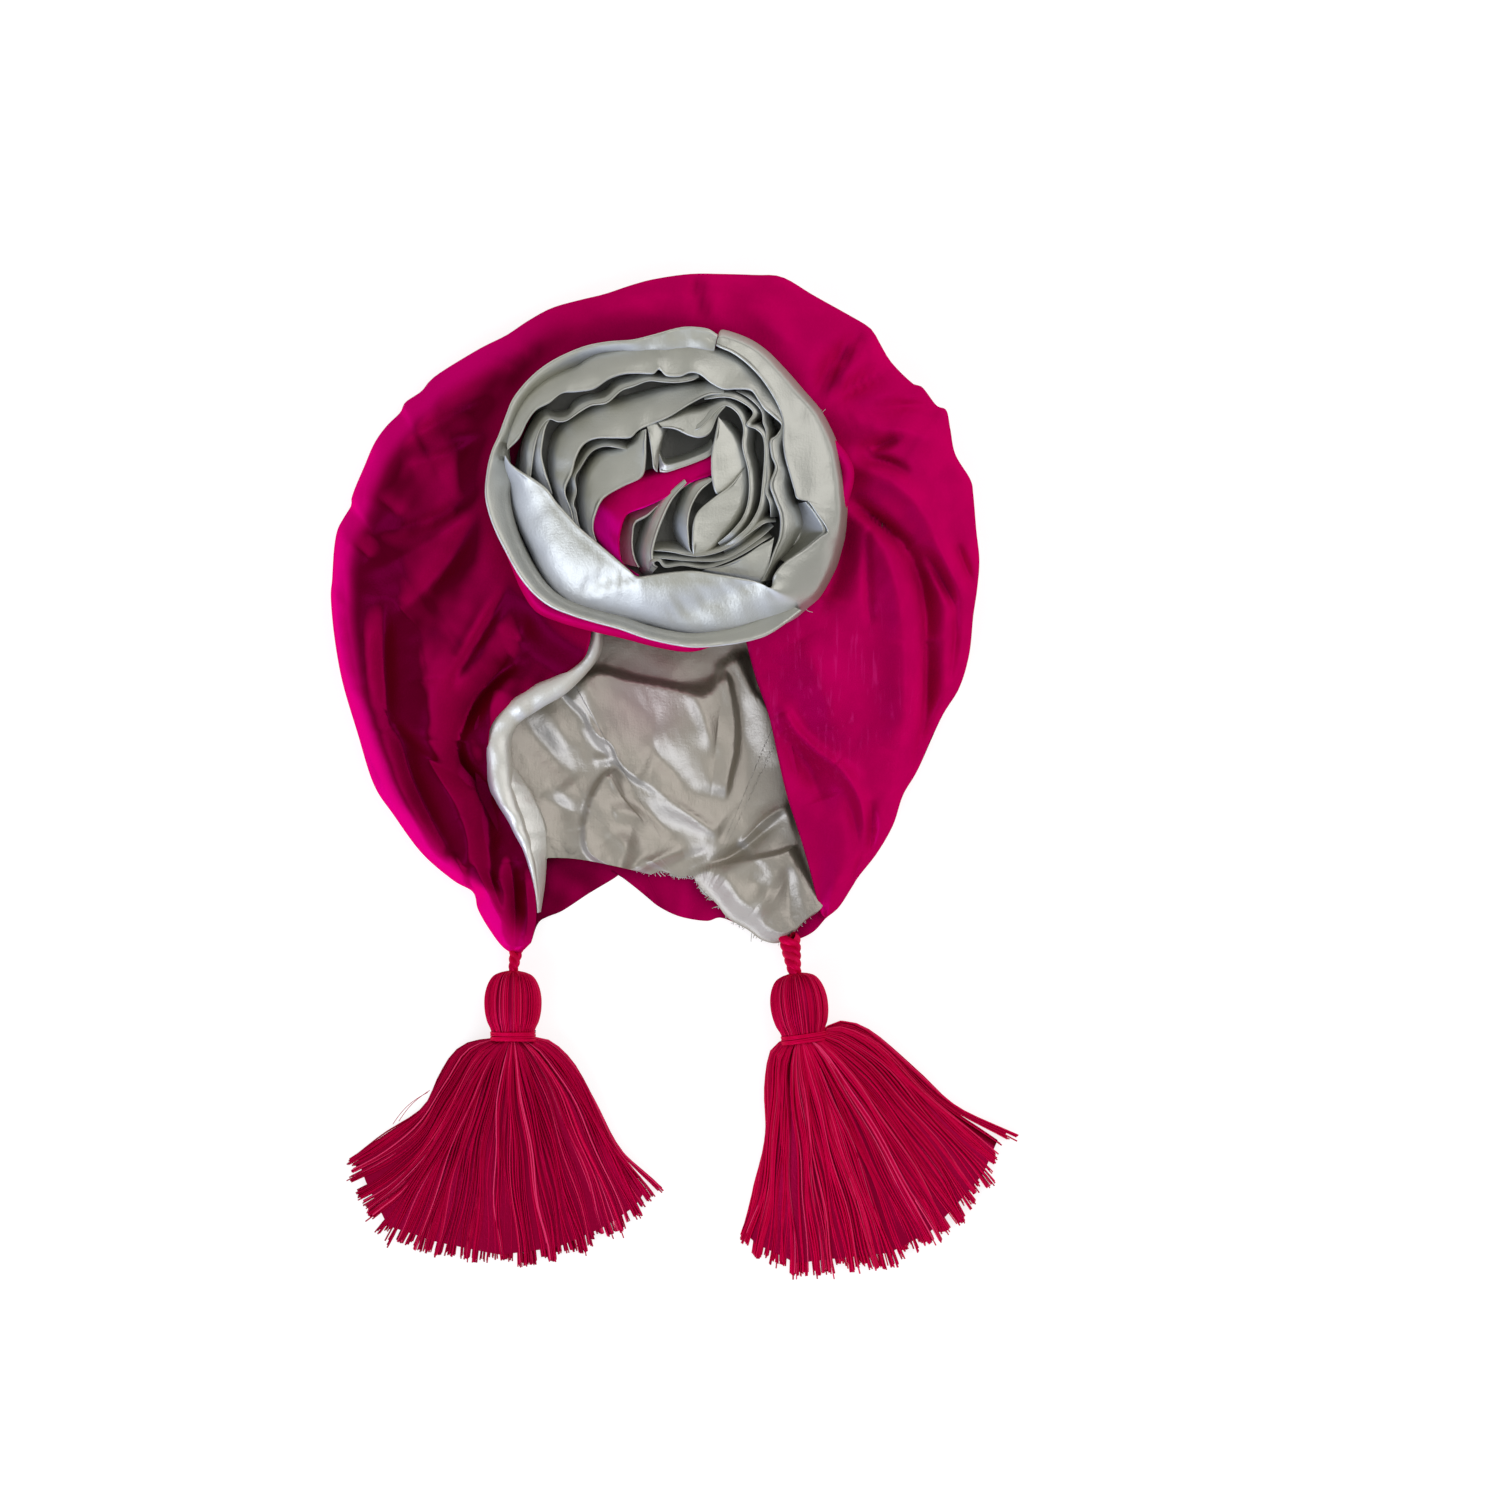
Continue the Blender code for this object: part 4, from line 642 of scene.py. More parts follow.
def read_curve(curve, shares):
    """A curve's values at shares of the length of its first two columns."""
    steps = np.linalg.norm(np.diff(curve[:, :2], axis=0), axis=1)
    places = np.concatenate([[0], np.cumsum(steps)])
    places /= places[-1]
    return np.stack([np.interp(shares, places, column) for column in curve.T], axis=-1)


def smooth_step(value):
    value = np.clip(value, 0, 1)
    return value * value * (3 - 2 * value)


def table_value(rows, where):
    rows = np.array(rows)
    return np.interp(where, rows[:, 0], rows[:, 1])


def ripple(places, size, seed):
    """Soft seeded noise in the plane, about -1 to 1, with waves near the given size."""
    random = np.random.default_rng(seed)
    waves, crest = 14, 1.6
    total = np.zeros(len(places))
    for _ in range(waves):
        angle, phase = random.uniform(0, 2 * math.pi, 2)
        wave = 2 * math.pi / (size * random.uniform(0.7, 1.6))
        total += np.sin((places[:, 0] * math.cos(angle) + places[:, 1] * math.sin(angle)) * wave + phase)
    return total / math.sqrt(waves / 2) / crest


def nearest_on(line, places):
    """Distance of places from a line of points, share of the way along it, and side, above 0 on the left."""
    runs = len(line) - 1
    best = np.full(len(places), 1e9)
    along = np.zeros(len(places))
    side = np.zeros(len(places))
    for index in range(runs):
        run = line[index + 1] - line[index]
        offset = places - line[index]
        part = np.clip(offset @ run / (run @ run), 0, 1)
        distance = np.linalg.norm(offset - part[:, None] * run, axis=1)
        closer = distance < best
        best[closer] = distance[closer]
        along[closer] = ((index + part) / runs)[closer]
        side[closer] = (run[0] * offset[:, 1] - run[1] * offset[:, 0])[closer]
    return best, along, side


def fold_heights(places, rows, power=1.6):
    """Height that a table of folds adds at each place; a fold fades out towards its ends."""
    total = np.zeros(len(places))
    share = np.linspace(0, 1, 13)[:, None]
    for row in rows:
        start, bend, end = np.array(row[0:2]), np.array(row[2:4]), np.array(row[4:6])
        height, left, right = row[6:9]
        reach = 3 * max(left, right)
        low = np.minimum(np.minimum(start, bend), end) - reach
        high = np.maximum(np.maximum(start, bend), end) + reach
        near = np.where(np.all((places > low) & (places < high), axis=1))[0]
        if not len(near):
            continue
        line = (1 - share) ** 2 * start + 2 * share * (1 - share) * bend + share ** 2 * end
        best, along, side = nearest_on(line, places[near])
        width = np.where(side > 0, left, right)
        fade = 0.25 + 0.75 * np.sin(math.pi * along) ** 0.7
        total[near] += height * fade * np.exp(-(best / width) ** power)
    return total


def step_heights(places, rows):
    """Height added by layers that end in a crisp edge: full at the edge, and less and less behind it."""
    total = np.zeros(len(places))
    ends = 0.12
    for height, left, right, points in rows:
        best, along, side = nearest_on(smooth_curve(placed(points, 1), 4), places)
        fade = smooth_step(along / ends) * smooth_step((1 - along) / ends)
        total += height * fade * np.exp(-(best / np.where(side > 0, left, right)) ** 1.5)
    return total


OUTLINE_CURVE = smooth_curve(placed(OUTLINE, 1))
FACE_CURVE = smooth_curve(placed(FACE_EDGE, 1))
NAPE_CURVE = smooth_curve(placed(NAPE_EDGE, 1))
HEM_CURVE = smooth_curve(placed(LINING_HEM, 1))
FRONT_CREASES = placed(FRONT_FOLDS, 3)
LINING_CREASES = placed(LINING_FOLDS, 3)
ROSETTE_CREASES = placed_fine(ROSETTE_FOLDS, 3)


def front_heights(places, way, share, level, sizes):
    """Height of the puffed front at places of the plan."""
    top = sizes.puff_height / MM * table_value(PUFF, way)
    edge = sizes.puff_height / MM * table_value(FACE_HEIGHT, way)
    base = edge + (top - edge) * smooth_step(share / SHOULDER)
    base = np.where(share < SHOULDER, base, top * (RIM_LEVEL + ROLL_LEVEL * level))
    calm = smooth_step(way / 0.015) * smooth_step((1 - way) / 0.02)
    low_strength = FOLD_STRENGTH + LOW_STRENGTH * smooth_step((20 - places[:, 1]) / 40)
    right_strength = FOLD_STRENGTH + RIGHT_STRENGTH * smooth_step(places[:, 0] / 40)
    folds = np.maximum(low_strength, right_strength) * fold_heights(places, FRONT_CREASES)
    folds += 0.35 * ripple(places, size=26, seed=3)
    folds += 0.14 * ripple(places, size=9, seed=5)
    height = np.maximum(base + np.sqrt(np.clip(level, 0, 1)) * calm * folds, 0.5 * base)
    distance = np.linalg.norm(places - ROSETTE_MIDDLE, axis=1)
    seat = 1 - smooth_step((distance - SEAT_RADIUS) / SEAT_BORDER)
    return height + (sizes.seat_height / MM - height) * seat * np.clip(2 * level, 0, 1)


def front_rows(ways, acrosses, sizes):
    """Points of the front, one row for each share of the way from the face edge to the rim."""
    rows = []
    flat_rows = 0.4
    face, rim = read_curve(FACE_CURVE, ways), read_curve(OUTLINE_CURVE, ways)
    for across in acrosses:
        if across < flat_rows:
            share, level = SHOULDER * across / flat_rows, 1.0
        else:
            turn = math.pi / 2 * (across - flat_rows) / (1 - flat_rows)
            share, level = SHOULDER + ROLL * math.sin(turn), max(0.0, math.cos(turn))
        places = face + (rim - face) * share
        height = front_heights(places, ways, np.full(len(ways), share), np.full(len(ways), level), sizes)
        rows.append(np.column_stack([places, height]))
    return rows


def inward_of(curve, ways):
    """Directions across a curve, towards the middle of the bag."""
    near = 0.004
    run = read_curve(curve, np.clip(ways + near, 0, 1)) - read_curve(curve, np.clip(ways - near, 0, 1))
    run /= np.linalg.norm(run, axis=1)[:, None] + 1e-9
    return np.column_stack([run[:, 1], -run[:, 0]])


def rim_rows(ways, turns, sizes):
    """Points round the rim, from its widest line down to the back."""
    rim, face = read_curve(OUTLINE_CURVE, ways), read_curve(FACE_CURVE, ways)
    inward = inward_of(OUTLINE_CURVE, ways)
    quarter = 0.25 * np.linalg.norm(face - rim, axis=1)
    roll = np.minimum(sizes.rim_roll / MM, quarter)[:, None]
    height = sizes.puff_height / MM * table_value(PUFF, ways) * RIM_LEVEL
    rows = []
    for share in turns:
        turn = math.pi / 2 * share
        places = rim + inward * roll * (1 - math.cos(turn))
        rows.append(np.column_stack([places, height * (1 - math.sin(turn)) + GAP]))
    return rows


def add_piece(name, mesh, material):
    """A smooth shaded piece from a finished mesh."""
    mesh.materials.append(material)
    mesh.shade_smooth()
    piece = bpy.data.objects.new(name, mesh)
    bpy.context.scene.collection.objects.link(piece)
    return piece


def add_shares(mesh, name, values):
    """Gives each point of a mesh a number that its material reads."""
    shares = mesh.attributes.new(name, "FLOAT", "POINT")
    shares.data.foreach_set("value", values.astype(np.float32))


def grid_piece(name, points, material, rim=None):
    """A mesh piece from an array of points in mm, rows by columns."""
    rows, columns = points.shape[:2]
    points = points.copy()
    points[..., 2] = np.maximum(points[..., 2], LEAST_HEIGHT)
    shape = bmesh.new()
    bmesh.ops.create_grid(shape, x_segments=columns - 1, y_segments=rows - 1, size=0.5)
    mesh = bpy.data.meshes.new(name)
    shape.to_mesh(mesh)
    shape.free()
    flat = np.empty(len(mesh.vertices) * 3)
    mesh.vertices.foreach_get("co", flat)
    flat = flat.reshape(-1, 3)
    column = np.rint((flat[:, 0] + 0.5) * (columns - 1)).astype(int)
    row = np.rint((flat[:, 1] + 0.5) * (rows - 1)).astype(int)
    mesh.vertices.foreach_set("co", (points[row, column] * MM).ravel())
    mesh.update()
    if rim is not None:
        add_shares(mesh, "rim", rim[row, column])
    return add_piece(name, mesh, material)


def tube_points(paths, radii, sides):
    """Rings round many paths: paths is threads by steps by 3 in mm, radii is threads by steps."""
    run = np.gradient(paths, axis=1)
    run /= np.linalg.norm(run, axis=2, keepdims=True) + 1e-9
    side = np.cross(run, UP)
    side /= np.linalg.norm(side, axis=2, keepdims=True) + 1e-9
    over = np.cross(side, run)
    first_turn = 0.3
    turns = np.linspace(0, 2 * math.pi, sides, endpoint=False) + first_turn
    ring = side[:, :, None] * np.cos(turns)[:, None] + over[:, :, None] * np.sin(turns)[:, None]
    return paths[:, :, None] + ring * radii[:, :, None, None]


def thread_piece(name, paths, radii, tones, material, sides=4):
    """Many thin threads as one mesh, each with its own tone."""
    points = tube_points(paths, radii, sides)
    threads, steps = paths.shape[:2]
    block = np.arange(steps * sides).reshape(steps, sides)
    after = np.roll(block, -1, axis=1)
    quads = np.stack([block[:-1], after[:-1], after[1:], block[1:]], axis=-1).reshape(-1, 4)
    faces = (quads[None] + (np.arange(threads) * steps * sides)[:, None, None]).reshape(-1, 4)
    mesh = bpy.data.meshes.new(name)
    mesh.from_pydata((points.reshape(-1, 3) * MM).tolist(), [], faces.tolist())
    add_shares(mesh, "tone", np.repeat(tones, steps * sides))
    return add_piece(name, mesh, material)


class Socket:
    """A shader socket that takes part in Python arithmetic."""

    def __init__(self, nodes, socket):
        self.nodes, self.socket = nodes, socket

    def math(self, operation, *values):
        return self.nodes.node("ShaderNodeMath", {"operation": operation}, *values)

    def __add__(self, other):
        return self.math("ADD", self, other)

    __radd__ = __add__

    def __sub__(self, other):
        return self.math("SUBTRACT", self, other)

    def __rsub__(self, other):
        return self.math("SUBTRACT", other, self)

    def __mul__(self, other):
        return self.math("MULTIPLY", self, other)

    __rmul__ = __mul__

    def clamp(self):
        return self.math("MINIMUM", self.math("MAXIMUM", self, 0.0), 1.0)

    def step(self, low, high):
        """0 at low, 1 at high and a soft change between."""
        settings = {"interpolation_type": "SMOOTHSTEP"}
        return self.nodes.node("ShaderNodeMapRange", settings, self, low, high, 0.0, 1.0)


class Finish:
    """A material under construction."""

    def __init__(self, name):
        self.material = bpy.data.materials.new(name)
        self.material.use_nodes = True
        self.tree = self.material.node_tree
        self.tree.nodes.clear()

    def node(self, kind, settings=None, *values, output=0, **named):
        """Adds a node: its settings first, then the values or links of its sockets, and gives one output."""
        node = self.tree.nodes.new(kind)
        for key, value in (settings or {}).items():
            setattr(node, key, value)
        pairs = [(node.inputs[index], value) for index, value in enumerate(values) if value is not None]
        pairs += [(node.inputs[key.replace("_", " ")], value) for key, value in named.items()]
        for socket, value in pairs:
            if isinstance(value, Socket):
                self.tree.links.new(value.socket, socket)
            else:
                socket.default_value = value
        return Socket(self, node.outputs[output]) if len(node.outputs) else None

    def place(self, stretch=(1, 1, 1), turn=0.0):
        """Object coordinates, stretched and turned about Z."""
        place = self.node("ShaderNodeTexCoord", output=3)
        return self.node("ShaderNodeMapping", None, place, (0, 0, 0), (0, 0, turn), stretch)

    def noise(self, place, scale, detail=2.0, roughness=0.5):
        return self.node("ShaderNodeTexNoise", None, place, Scale=scale, Detail=detail, Roughness=roughness)

    def mix(self, share, first, second):
        """A colour between two; the node's colour sockets come after five of other kinds."""
        others = [None] * 5
        return self.node("ShaderNodeMix", {"data_type": "RGBA"}, share, *others, first, second, output=2)

    def bump(self, height, strength, distance):
        return self.node("ShaderNodeBump", None, Height=height, Strength=strength, Distance=distance)

    def lean(self, turn):
        """How far the cloth leans towards a direction in plan."""
        normal = self.node("ShaderNodeNewGeometry", output=1)
        return self.node("ShaderNodeVectorMath", {"operation": "DOT_PRODUCT"}, normal,
                         (math.cos(turn), math.sin(turn), 0.0), output=1)

    def distance(self, place, spot):
        return self.node("ShaderNodeVectorMath", {"operation": "DISTANCE"}, place, spot, output=1)

    def skin(self, **named):
        return self.node("ShaderNodeBsdfPrincipled", None, **named)

    def end(self, surface):
        """The finished material with one surface."""
        self.node("ShaderNodeOutputMaterial", None, surface)
        return self.material

    def close(self, share, body, gloss):
        """The finished material with a share of gloss over its matt body."""
        return self.end(self.node("ShaderNodeMixShader", None, share, body, gloss))


def shade(colour, factor):
    return tuple(channel * factor for channel in colour[:3]) + (1.0,)


def bag_painted_light(finish, place, colours, colour):
    """The bag's painted light: painted shade on the left, more of it lower down, and where the cloth leans
    away, half as much on the right and less at the rim, and a painted highlight along the left rim; gives
    colour and a gloss share that rises at the rim.
    """
    lean = finish.lean(PAINTED_SHADE_TURN)
    side = finish.node("ShaderNodeSeparateXYZ", None, place)
    rim = finish.node("ShaderNodeAttribute", {"attribute_name": "rim"}, output=2)
    # Painted shade: where the cloth leans away, on the left and more so lower down, halved on the right and
    # lessened at the rim.
    away = (1 - lean.step(-0.72, 0.50)) * 1.15
    down = 1 - finish.node("ShaderNodeSeparateXYZ", None, place, output=1).step(-0.080, -0.010)
    left = (1 - side.step(-0.060, 0.010)) * (down * 0.27 + 0.26)
    painted_shade = (away + left).clamp() * (1 - side.step(0.015, 0.055) * 0.50) * (1 - rim * 0.80)
    colour = finish.mix(painted_shade, colour, tuple(colours.crepe_deep))
    # Painted highlight along the left wing's rim, and a larger gloss share at the rim where it leans left.
    low = rim * (1 - lean.step(-0.85, -0.30))
    edge = rim.step(0.2, 0.9) * (1 - side.step(-0.080, -0.030))
    return finish.mix(edge * 0.65, colour, RIM_HIGHLIGHT_COLOUR), low * 0.40 + 0.045


def bag_slubs(finish, place, colour):
    """Pale slubs that run down the right wing."""
    streak = finish.noise(finish.place((1.0, 0.05, 1.0), CREPE_WEAVE_TURN), 520.0, 3.0, 0.6)
    near = 1 - finish.distance(place, SLUB_PLACE).step(0.012, 0.050)
    return finish.mix(streak.step(0.54, 0.74) * near * 0.18, colour, SLUB_COLOUR)


def crepe_finish(name, colours, bag=False, heart=False):
    """Matt magenta crepe with a violet gloss; the bag has slubs, painted shade on the left and where it
    leans away and a painted highlight at the rim, and the heart has a painted highlight where it leans to
    the lower left.
    """
    finish = Finish(name)
    place = finish.place()
    patches = finish.noise(place, 60.0, 3.0)
    grain = finish.noise(place, 1500.0, 2.0)
    weave = finish.noise(finish.place((1.0, 0.25, 1.0), CREPE_WEAVE_TURN), 900.0, 2.0)
    colour = finish.mix(patches.step(0.35, 0.65), shade(colours.crepe, 0.92), shade(colours.crepe, 1.06))
    share = 0.12
    if bag:
        colour, share = bag_painted_light(finish, place, colours, colour)
        colour = bag_slubs(finish, place, colour)
    if heart:
        # Painted highlight where the heart leans to the lower left.
        colour = finish.mix(finish.lean(HEART_HIGHLIGHT_TURN).step(0.0, 0.5), colour, HEART_HIGHLIGHT_COLOUR)
    relief = finish.bump(grain * 0.5 + weave * 0.5, 0.35, 0.0005)
    sheen = tuple(colours.crepe_sheen)
    body = finish.skin(Base_Color=colour, Roughness=0.75, Specular_IOR_Level=0.0, Normal=relief)
    gloss = finish.skin(Base_Color=sheen, Metallic=1.0, Roughness=0.46, Normal=relief, Specular_Tint=sheen)
    return finish.close(share, body, gloss)


def satin_finish(name, colours, tint=1.0, hue=(1.0, 1.0, 1.0), glow=1.0, share=0.38, blush=None):
    """Warm grey satin with a fine woven grain, painted shade where it leans to the right and on the hat's
    right side, and a painted cool highlight where it leans to the window.

    Tint and hue change its colour, glow is how far the painted highlight whitens it where it leans to the
    window, share is that of the gloss, and the place given last is where a painted red reflection of the
    magenta crepe reddens it.
    """
    finish = Finish(name)
    place = finish.place()
    patches = finish.noise(place, 45.0, 3.0)
    grain = finish.noise(place, 1100.0, 3.0, 0.6)
    warp = finish.noise(finish.place((1.0, 0.12, 1.0), SATIN_WEAVE_TURN), 1300.0, 2.0)
    weft = finish.noise(finish.place((0.12, 1.0, 1.0), SATIN_WEAVE_TURN), 1300.0, 2.0)
    satin = shade([channel * part for channel, part in zip(colours.satin, hue)], tint)
    # Painted shade: the satin darker where it leans to the right and on the hat's right side.
    painted_shade = shade(satin, 0.55)
    colour = finish.mix(patches.step(0.35, 0.65), shade(satin, 0.94), shade(satin, 1.05))
    colour = finish.mix(finish.lean(PAINTED_SHADE_TURN).step(0.05, 0.60) * 0.6, colour, painted_shade)
    side = finish.node("ShaderNodeSeparateXYZ", None, place)
    colour = finish.mix(side.step(0.030, 0.062) * 0.8, colour, painted_shade)
    # Painted cool highlight where the satin leans to the window.
    bright = [0.72 * min(1.0, tint) * channel for channel in WINDOW_HIGHLIGHT_COLOUR]
    colour = finish.mix(finish.lean(WINDOW_TURN).step(0.10, 0.75) * glow, colour, shade(bright, 1.0))
    # Painted red reflection of the magenta crepe around one place.
    if blush:
        near = 1 - finish.distance(place, blush).step(0.005, 0.026)
        colour = finish.mix(near * 0.5, colour, BOUNCE_REFLECTION_COLOUR)
    relief = finish.bump(grain * 0.5 + warp * 0.3 + weft * 0.2, 0.40, 0.0006)
    body = finish.skin(Base_Color=colour, Roughness=0.6, Specular_IOR_Level=0.15, Normal=relief)
    sheen = [min(1.0, channel * part * tint) for channel, part in zip(colours.satin_sheen, hue)]
    gloss = finish.skin(Base_Color=shade(sheen, 1.0), Metallic=1.0, Roughness=0.40, Normal=relief)
    return finish.close(share, body, gloss)


def thread_finish(name, colours):
    """Crimson embroidery thread, each thread a little lighter or darker, threads with tones above one
    painted with glints, and a tight twist.
    """
    finish = Finish(name)
    tone = finish.node("ShaderNodeAttribute", {"attribute_name": "tone"}, output=2)
    grain = finish.noise(finish.place((1.0, 0.5, 1.0)), 1600.0, 2.0)
    colour = finish.mix(tone.clamp(), shade(colours.thread, 0.35), shade(colours.thread, 1.15))
    # Tones above one are painted in the glint colour, as painted glints.
    colour = finish.mix(tone.step(1.0, 1.6), colour, THREAD_GLINT_COLOUR)
    relief = finish.bump(grain, 0.35, 0.0004)
    body = finish.skin(Base_Color=colour, Roughness=0.6, Specular_IOR_Level=0.0, Normal=relief)
    gloss = finish.skin(Base_Color=THREAD_GLOSS_COLOUR, Metallic=1.0, Roughness=0.38, Normal=relief)
    return finish.close(0.16, body, gloss)


def finishes():
    """The hat's materials, made once."""
    colours = bpy.context.scene.hat_colours
    makers = {
        "slubbed_crepe": (crepe_finish, {"bag": True}),
        "plain_crepe": (crepe_finish, {}),
        "heart_crepe": (crepe_finish, {"heart": True}),
        "lit_satin": (satin_finish, {}),
        # The pad's satin is darkened as painted shade for the gaps in the rosette.
        "deep_satin": (satin_finish, {"tint": 0.22}),
        # The facing's satin is painted nearly twice as light, a painted lit copy of the satin.
        "bright_satin": (satin_finish, {"tint": 1.9, "hue": (1.0, 0.98, 1.05)}),
        # The lining's satin carries a painted red reflection of the crepe near the rosette.
        "lining_satin": (satin_finish, {
            "tint": 0.86, "hue": (1.0, 0.92, 0.90), "glow": 0.3, "share": 0.30,
            "blush": (-0.004, -0.036, 0.010)}),
        "twisted_thread": (thread_finish, {}),
    }
    return {
        name: bpy.data.materials.get(name) or make(name, colours, **options)
        for name, (make, options) in makers.items()
    }


def settle(piece, slot, *nodes):
    """A piece rides on the hat and stands for the CAD nodes that are given; the slot is not used."""
    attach(piece, "root")
    if nodes:
        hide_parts(*nodes)
    return piece


def bag_ways(count):
    """Shares of the way round the bag, closer together near the corners."""
    even = np.linspace(0, 1, count)
    around, along = np.array(BACK_FAN).T
    return 0.62 * even + 0.38 * np.interp(even, along, around)


def build_bag(sizes):
    """The crepe bag from its turned face edge over the front, round the rim and along the back."""
    ways = bag_ways(BAG_COLUMNS)
    inward = inward_of(FACE_CURVE, ways)
    front = front_rows(ways, np.linspace(0, 1, FRONT_ROWS), sizes)
    calm = smooth_step(ways / 0.03)[:, None] * smooth_step((1 - ways) / 0.03)[:, None]
    calm = 0.3 + 0.7 * calm
    rows = []
    for across, drop in FACE_TURN:
        turned = front[0].copy()
        turned[:, :2] += inward * across * calm
        turned[:, 2] += drop * calm[:, 0]
        rows.append(turned)
    rows += front
    rows += rim_rows(ways, np.linspace(0, 1, RIM_ROWS)[1:], sizes)
    foot = rows[-1][:, :2]
    nape = read_curve(NAPE_CURVE, np.interp(ways, *np.array(BACK_FAN).T))
    for share in np.linspace(0, 1, BACK_ROWS)[1:]:
        places = foot * (1 - share) + nape * share
        height = 0.5 + 0.45 * (1 + ripple(places, size=14, seed=11)) * smooth_step(share * 3)
        rows.append(np.column_stack([places, height]))
    points = np.array(rows)
    away = np.linalg.norm(points[..., :2] - read_curve(OUTLINE_CURVE, ways), axis=2)
    rim = 1 - smooth_step((away - 2.0) / 15.0)
    return grid_piece("hat_bag", points, finishes()["slubbed_crepe"], rim)


def lining_back(places, share):
    """Height of the loose lining over the back, which lies flat at the left wing's tip."""
    loose = smooth_step(share / 0.35) * (1 - 0.75 * smooth_step((share - 0.93) / 0.07))
    waves = 0.30 * ripple(places, size=16, seed=21) + 0.07 * ripple(places, size=6, seed=22)
    waves += 0.7 * ripple(places, size=40, seed=23)
    height = 1.3 * fold_heights(places, LINING_CREASES, 1.7) + step_heights(places, LINING_STEPS)
    height += waves - 2.0
    height = LINING_FLOOR + loose * (8.0 + height)
    height = LINING_FLOOR + np.logaddexp(0, (height - LINING_FLOOR) * 1.5) / 1.5
    tip = smooth_step((-85 - places[:, 1]) / 20) * smooth_step((-42 - places[:, 0]) / 8)
    return height + (np.minimum(height, 2.8) - height) * tip


def build_lining(sizes):
    """The satin lining under the front, round inside the rim, and loose over the back to its raw hem."""
    ways = np.interp(bag_ways(LINING_COLUMNS), [0, 1], LINING_WAYS)
    gap = sizes.lining_gap / MM
    front = front_rows(ways, np.linspace(0, 1, 30)[1:], sizes)
    rim = rim_rows(ways, np.linspace(0, 1, 9)[1:], sizes)
    shell = np.array(front + rim)
    around, down = np.gradient(shell, axis=1), np.gradient(shell, axis=0)
    normal = np.cross(around, down)
    normal /= np.linalg.norm(normal, axis=2, keepdims=True) + 1e-9
    inside = shell - normal * gap
    under, round_rim = inside[:len(front), :, 2], inside[len(front):, :, 2]
    sag = LINING_SAG * smooth_step(np.linspace(0, 3, len(front)))
    under[:] = np.minimum(under, shell[:len(front), :, 2] - 0.6 * gap) - sag[:, None]
    round_rim -= np.linspace(LINING_SAG, 0, len(rim))[:, None]
    rows = list(inside)
    fan = np.interp(ways, *np.array(BACK_FAN).T)
    hem = read_curve(HEM_CURVE, (fan - fan[0]) / (fan[-1] - fan[0]))
    last = rows[-1]
    last[:, 2] = np.maximum(last[:, 2], 1.8)
    for share in np.linspace(0, 1, LINING_ROWS)[1:]:
        places = last[:, :2] * (1 - share) + hem * share
        rows.append(np.column_stack([places, lining_back(places, share)]))
    piece = grid_piece("hat_lining", np.array(rows), finishes()["lining_satin"])
    return piece, rows[-1]


def build_hem_threads(hem):
    """Loose threads along the raw hem of the lining."""
    random = np.random.default_rng(31)
    count, steps = 170, 6
    picks = random.integers(4, len(hem) - 4, count)
    run = hem[picks + 3] - hem[picks - 3]
    angle = np.arctan2(run[:, 1], run[:, 0]) - math.pi / 2 + random.normal(0, 0.7, count)
    length = random.uniform(0.5, 1.8, count) * (1 + 1.5 * (random.random(count) > 0.93))
    bend = random.normal(0, 0.9, count)
    paths = np.zeros((count, steps, 3))
    paths[:, 0] = hem[picks]
    for step in range(1, steps):
        heading = angle + bend * step / steps
        stride = (length / steps)[:, None]
        paths[:, step] = paths[:, step - 1] + stride * np.column_stack(
            [np.cos(heading), np.sin(heading), random.normal(-0.02, 0.15, count)])
    paths[..., 2] = np.maximum(paths[..., 2], 0.4)
    radii = np.repeat(random.uniform(0.10, 0.17, count)[:, None], steps, axis=1)
    tones = random.uniform(0.6, 1.0, count)
    return thread_piece("hem_threads", paths, radii, tones, finishes()["lit_satin"], 3)


def strip_rows(curve, profile):
    """Points of a strip between two edges: profile gives the share across, and the height in mm."""
    outer, inner = curve[:, 0:2], curve[:, 2:4]
    rows = [np.column_stack([outer + (inner - outer) * across, height]) for across, height in profile]
    return np.array(rows)


def build_edge_tape(sizes):
    """The satin facing turned out along the left face edge."""
    shares = np.linspace(0, 1, 200)
    curve = read_curve(smooth_curve(placed(FACING, 2)), shares)
    edge = sizes.puff_height / MM * table_value(FACE_HEIGHT, np.interp(shares, [0, 1], FACING_WAYS))
    wave = 0.5 * ripple(curve[:, :2], size=12, seed=41)
    plump = np.clip(np.linalg.norm(curve[:, 2:4] - curve[:, :2], axis=1) / 6, 0.1, 1.0)
    profile = []
    for across, drop in FACING_SECTION:
        bulge = 2.6 * plump * math.sqrt(max(0.0, 1 - (2 * across - 0.86) ** 2 / 1.30))
        profile.append((across, edge + wave + bulge - drop))
    # The facing takes the satin painted nearly twice as light, as painted light.
    return grid_piece("edge_tape", strip_rows(curve, profile), finishes()["bright_satin"])


def build_wing_lining(sizes):
    """The lining of the left wing beside the facing, with its inner edge turned under."""
    shares = np.linspace(0, 1, 90)
    curve = read_curve(smooth_curve(placed(WING_LINING, 2)), shares)
    edge = sizes.puff_height / MM * table_value(FACE_HEIGHT, np.interp(shares, [0, 1], WING_WAYS))
    wave = 0.3 * ripple(curve[:, :2], size=9, seed=43)
    acrosses = np.linspace(-0.08, 1, 12)
    profile = [(across, edge + 0.6 - 5.0 * abs(across) ** 1.5 + wave) for across in acrosses]
    profile += [(0.97, profile[-1][1] - 0.8), (0.85, profile[-1][1] - 1.4)]
    # The wing's lining takes the satin painted nearly twice as light, as painted light.
    return grid_piece("wing_lining", strip_rows(curve, profile), finishes()["bright_satin"])


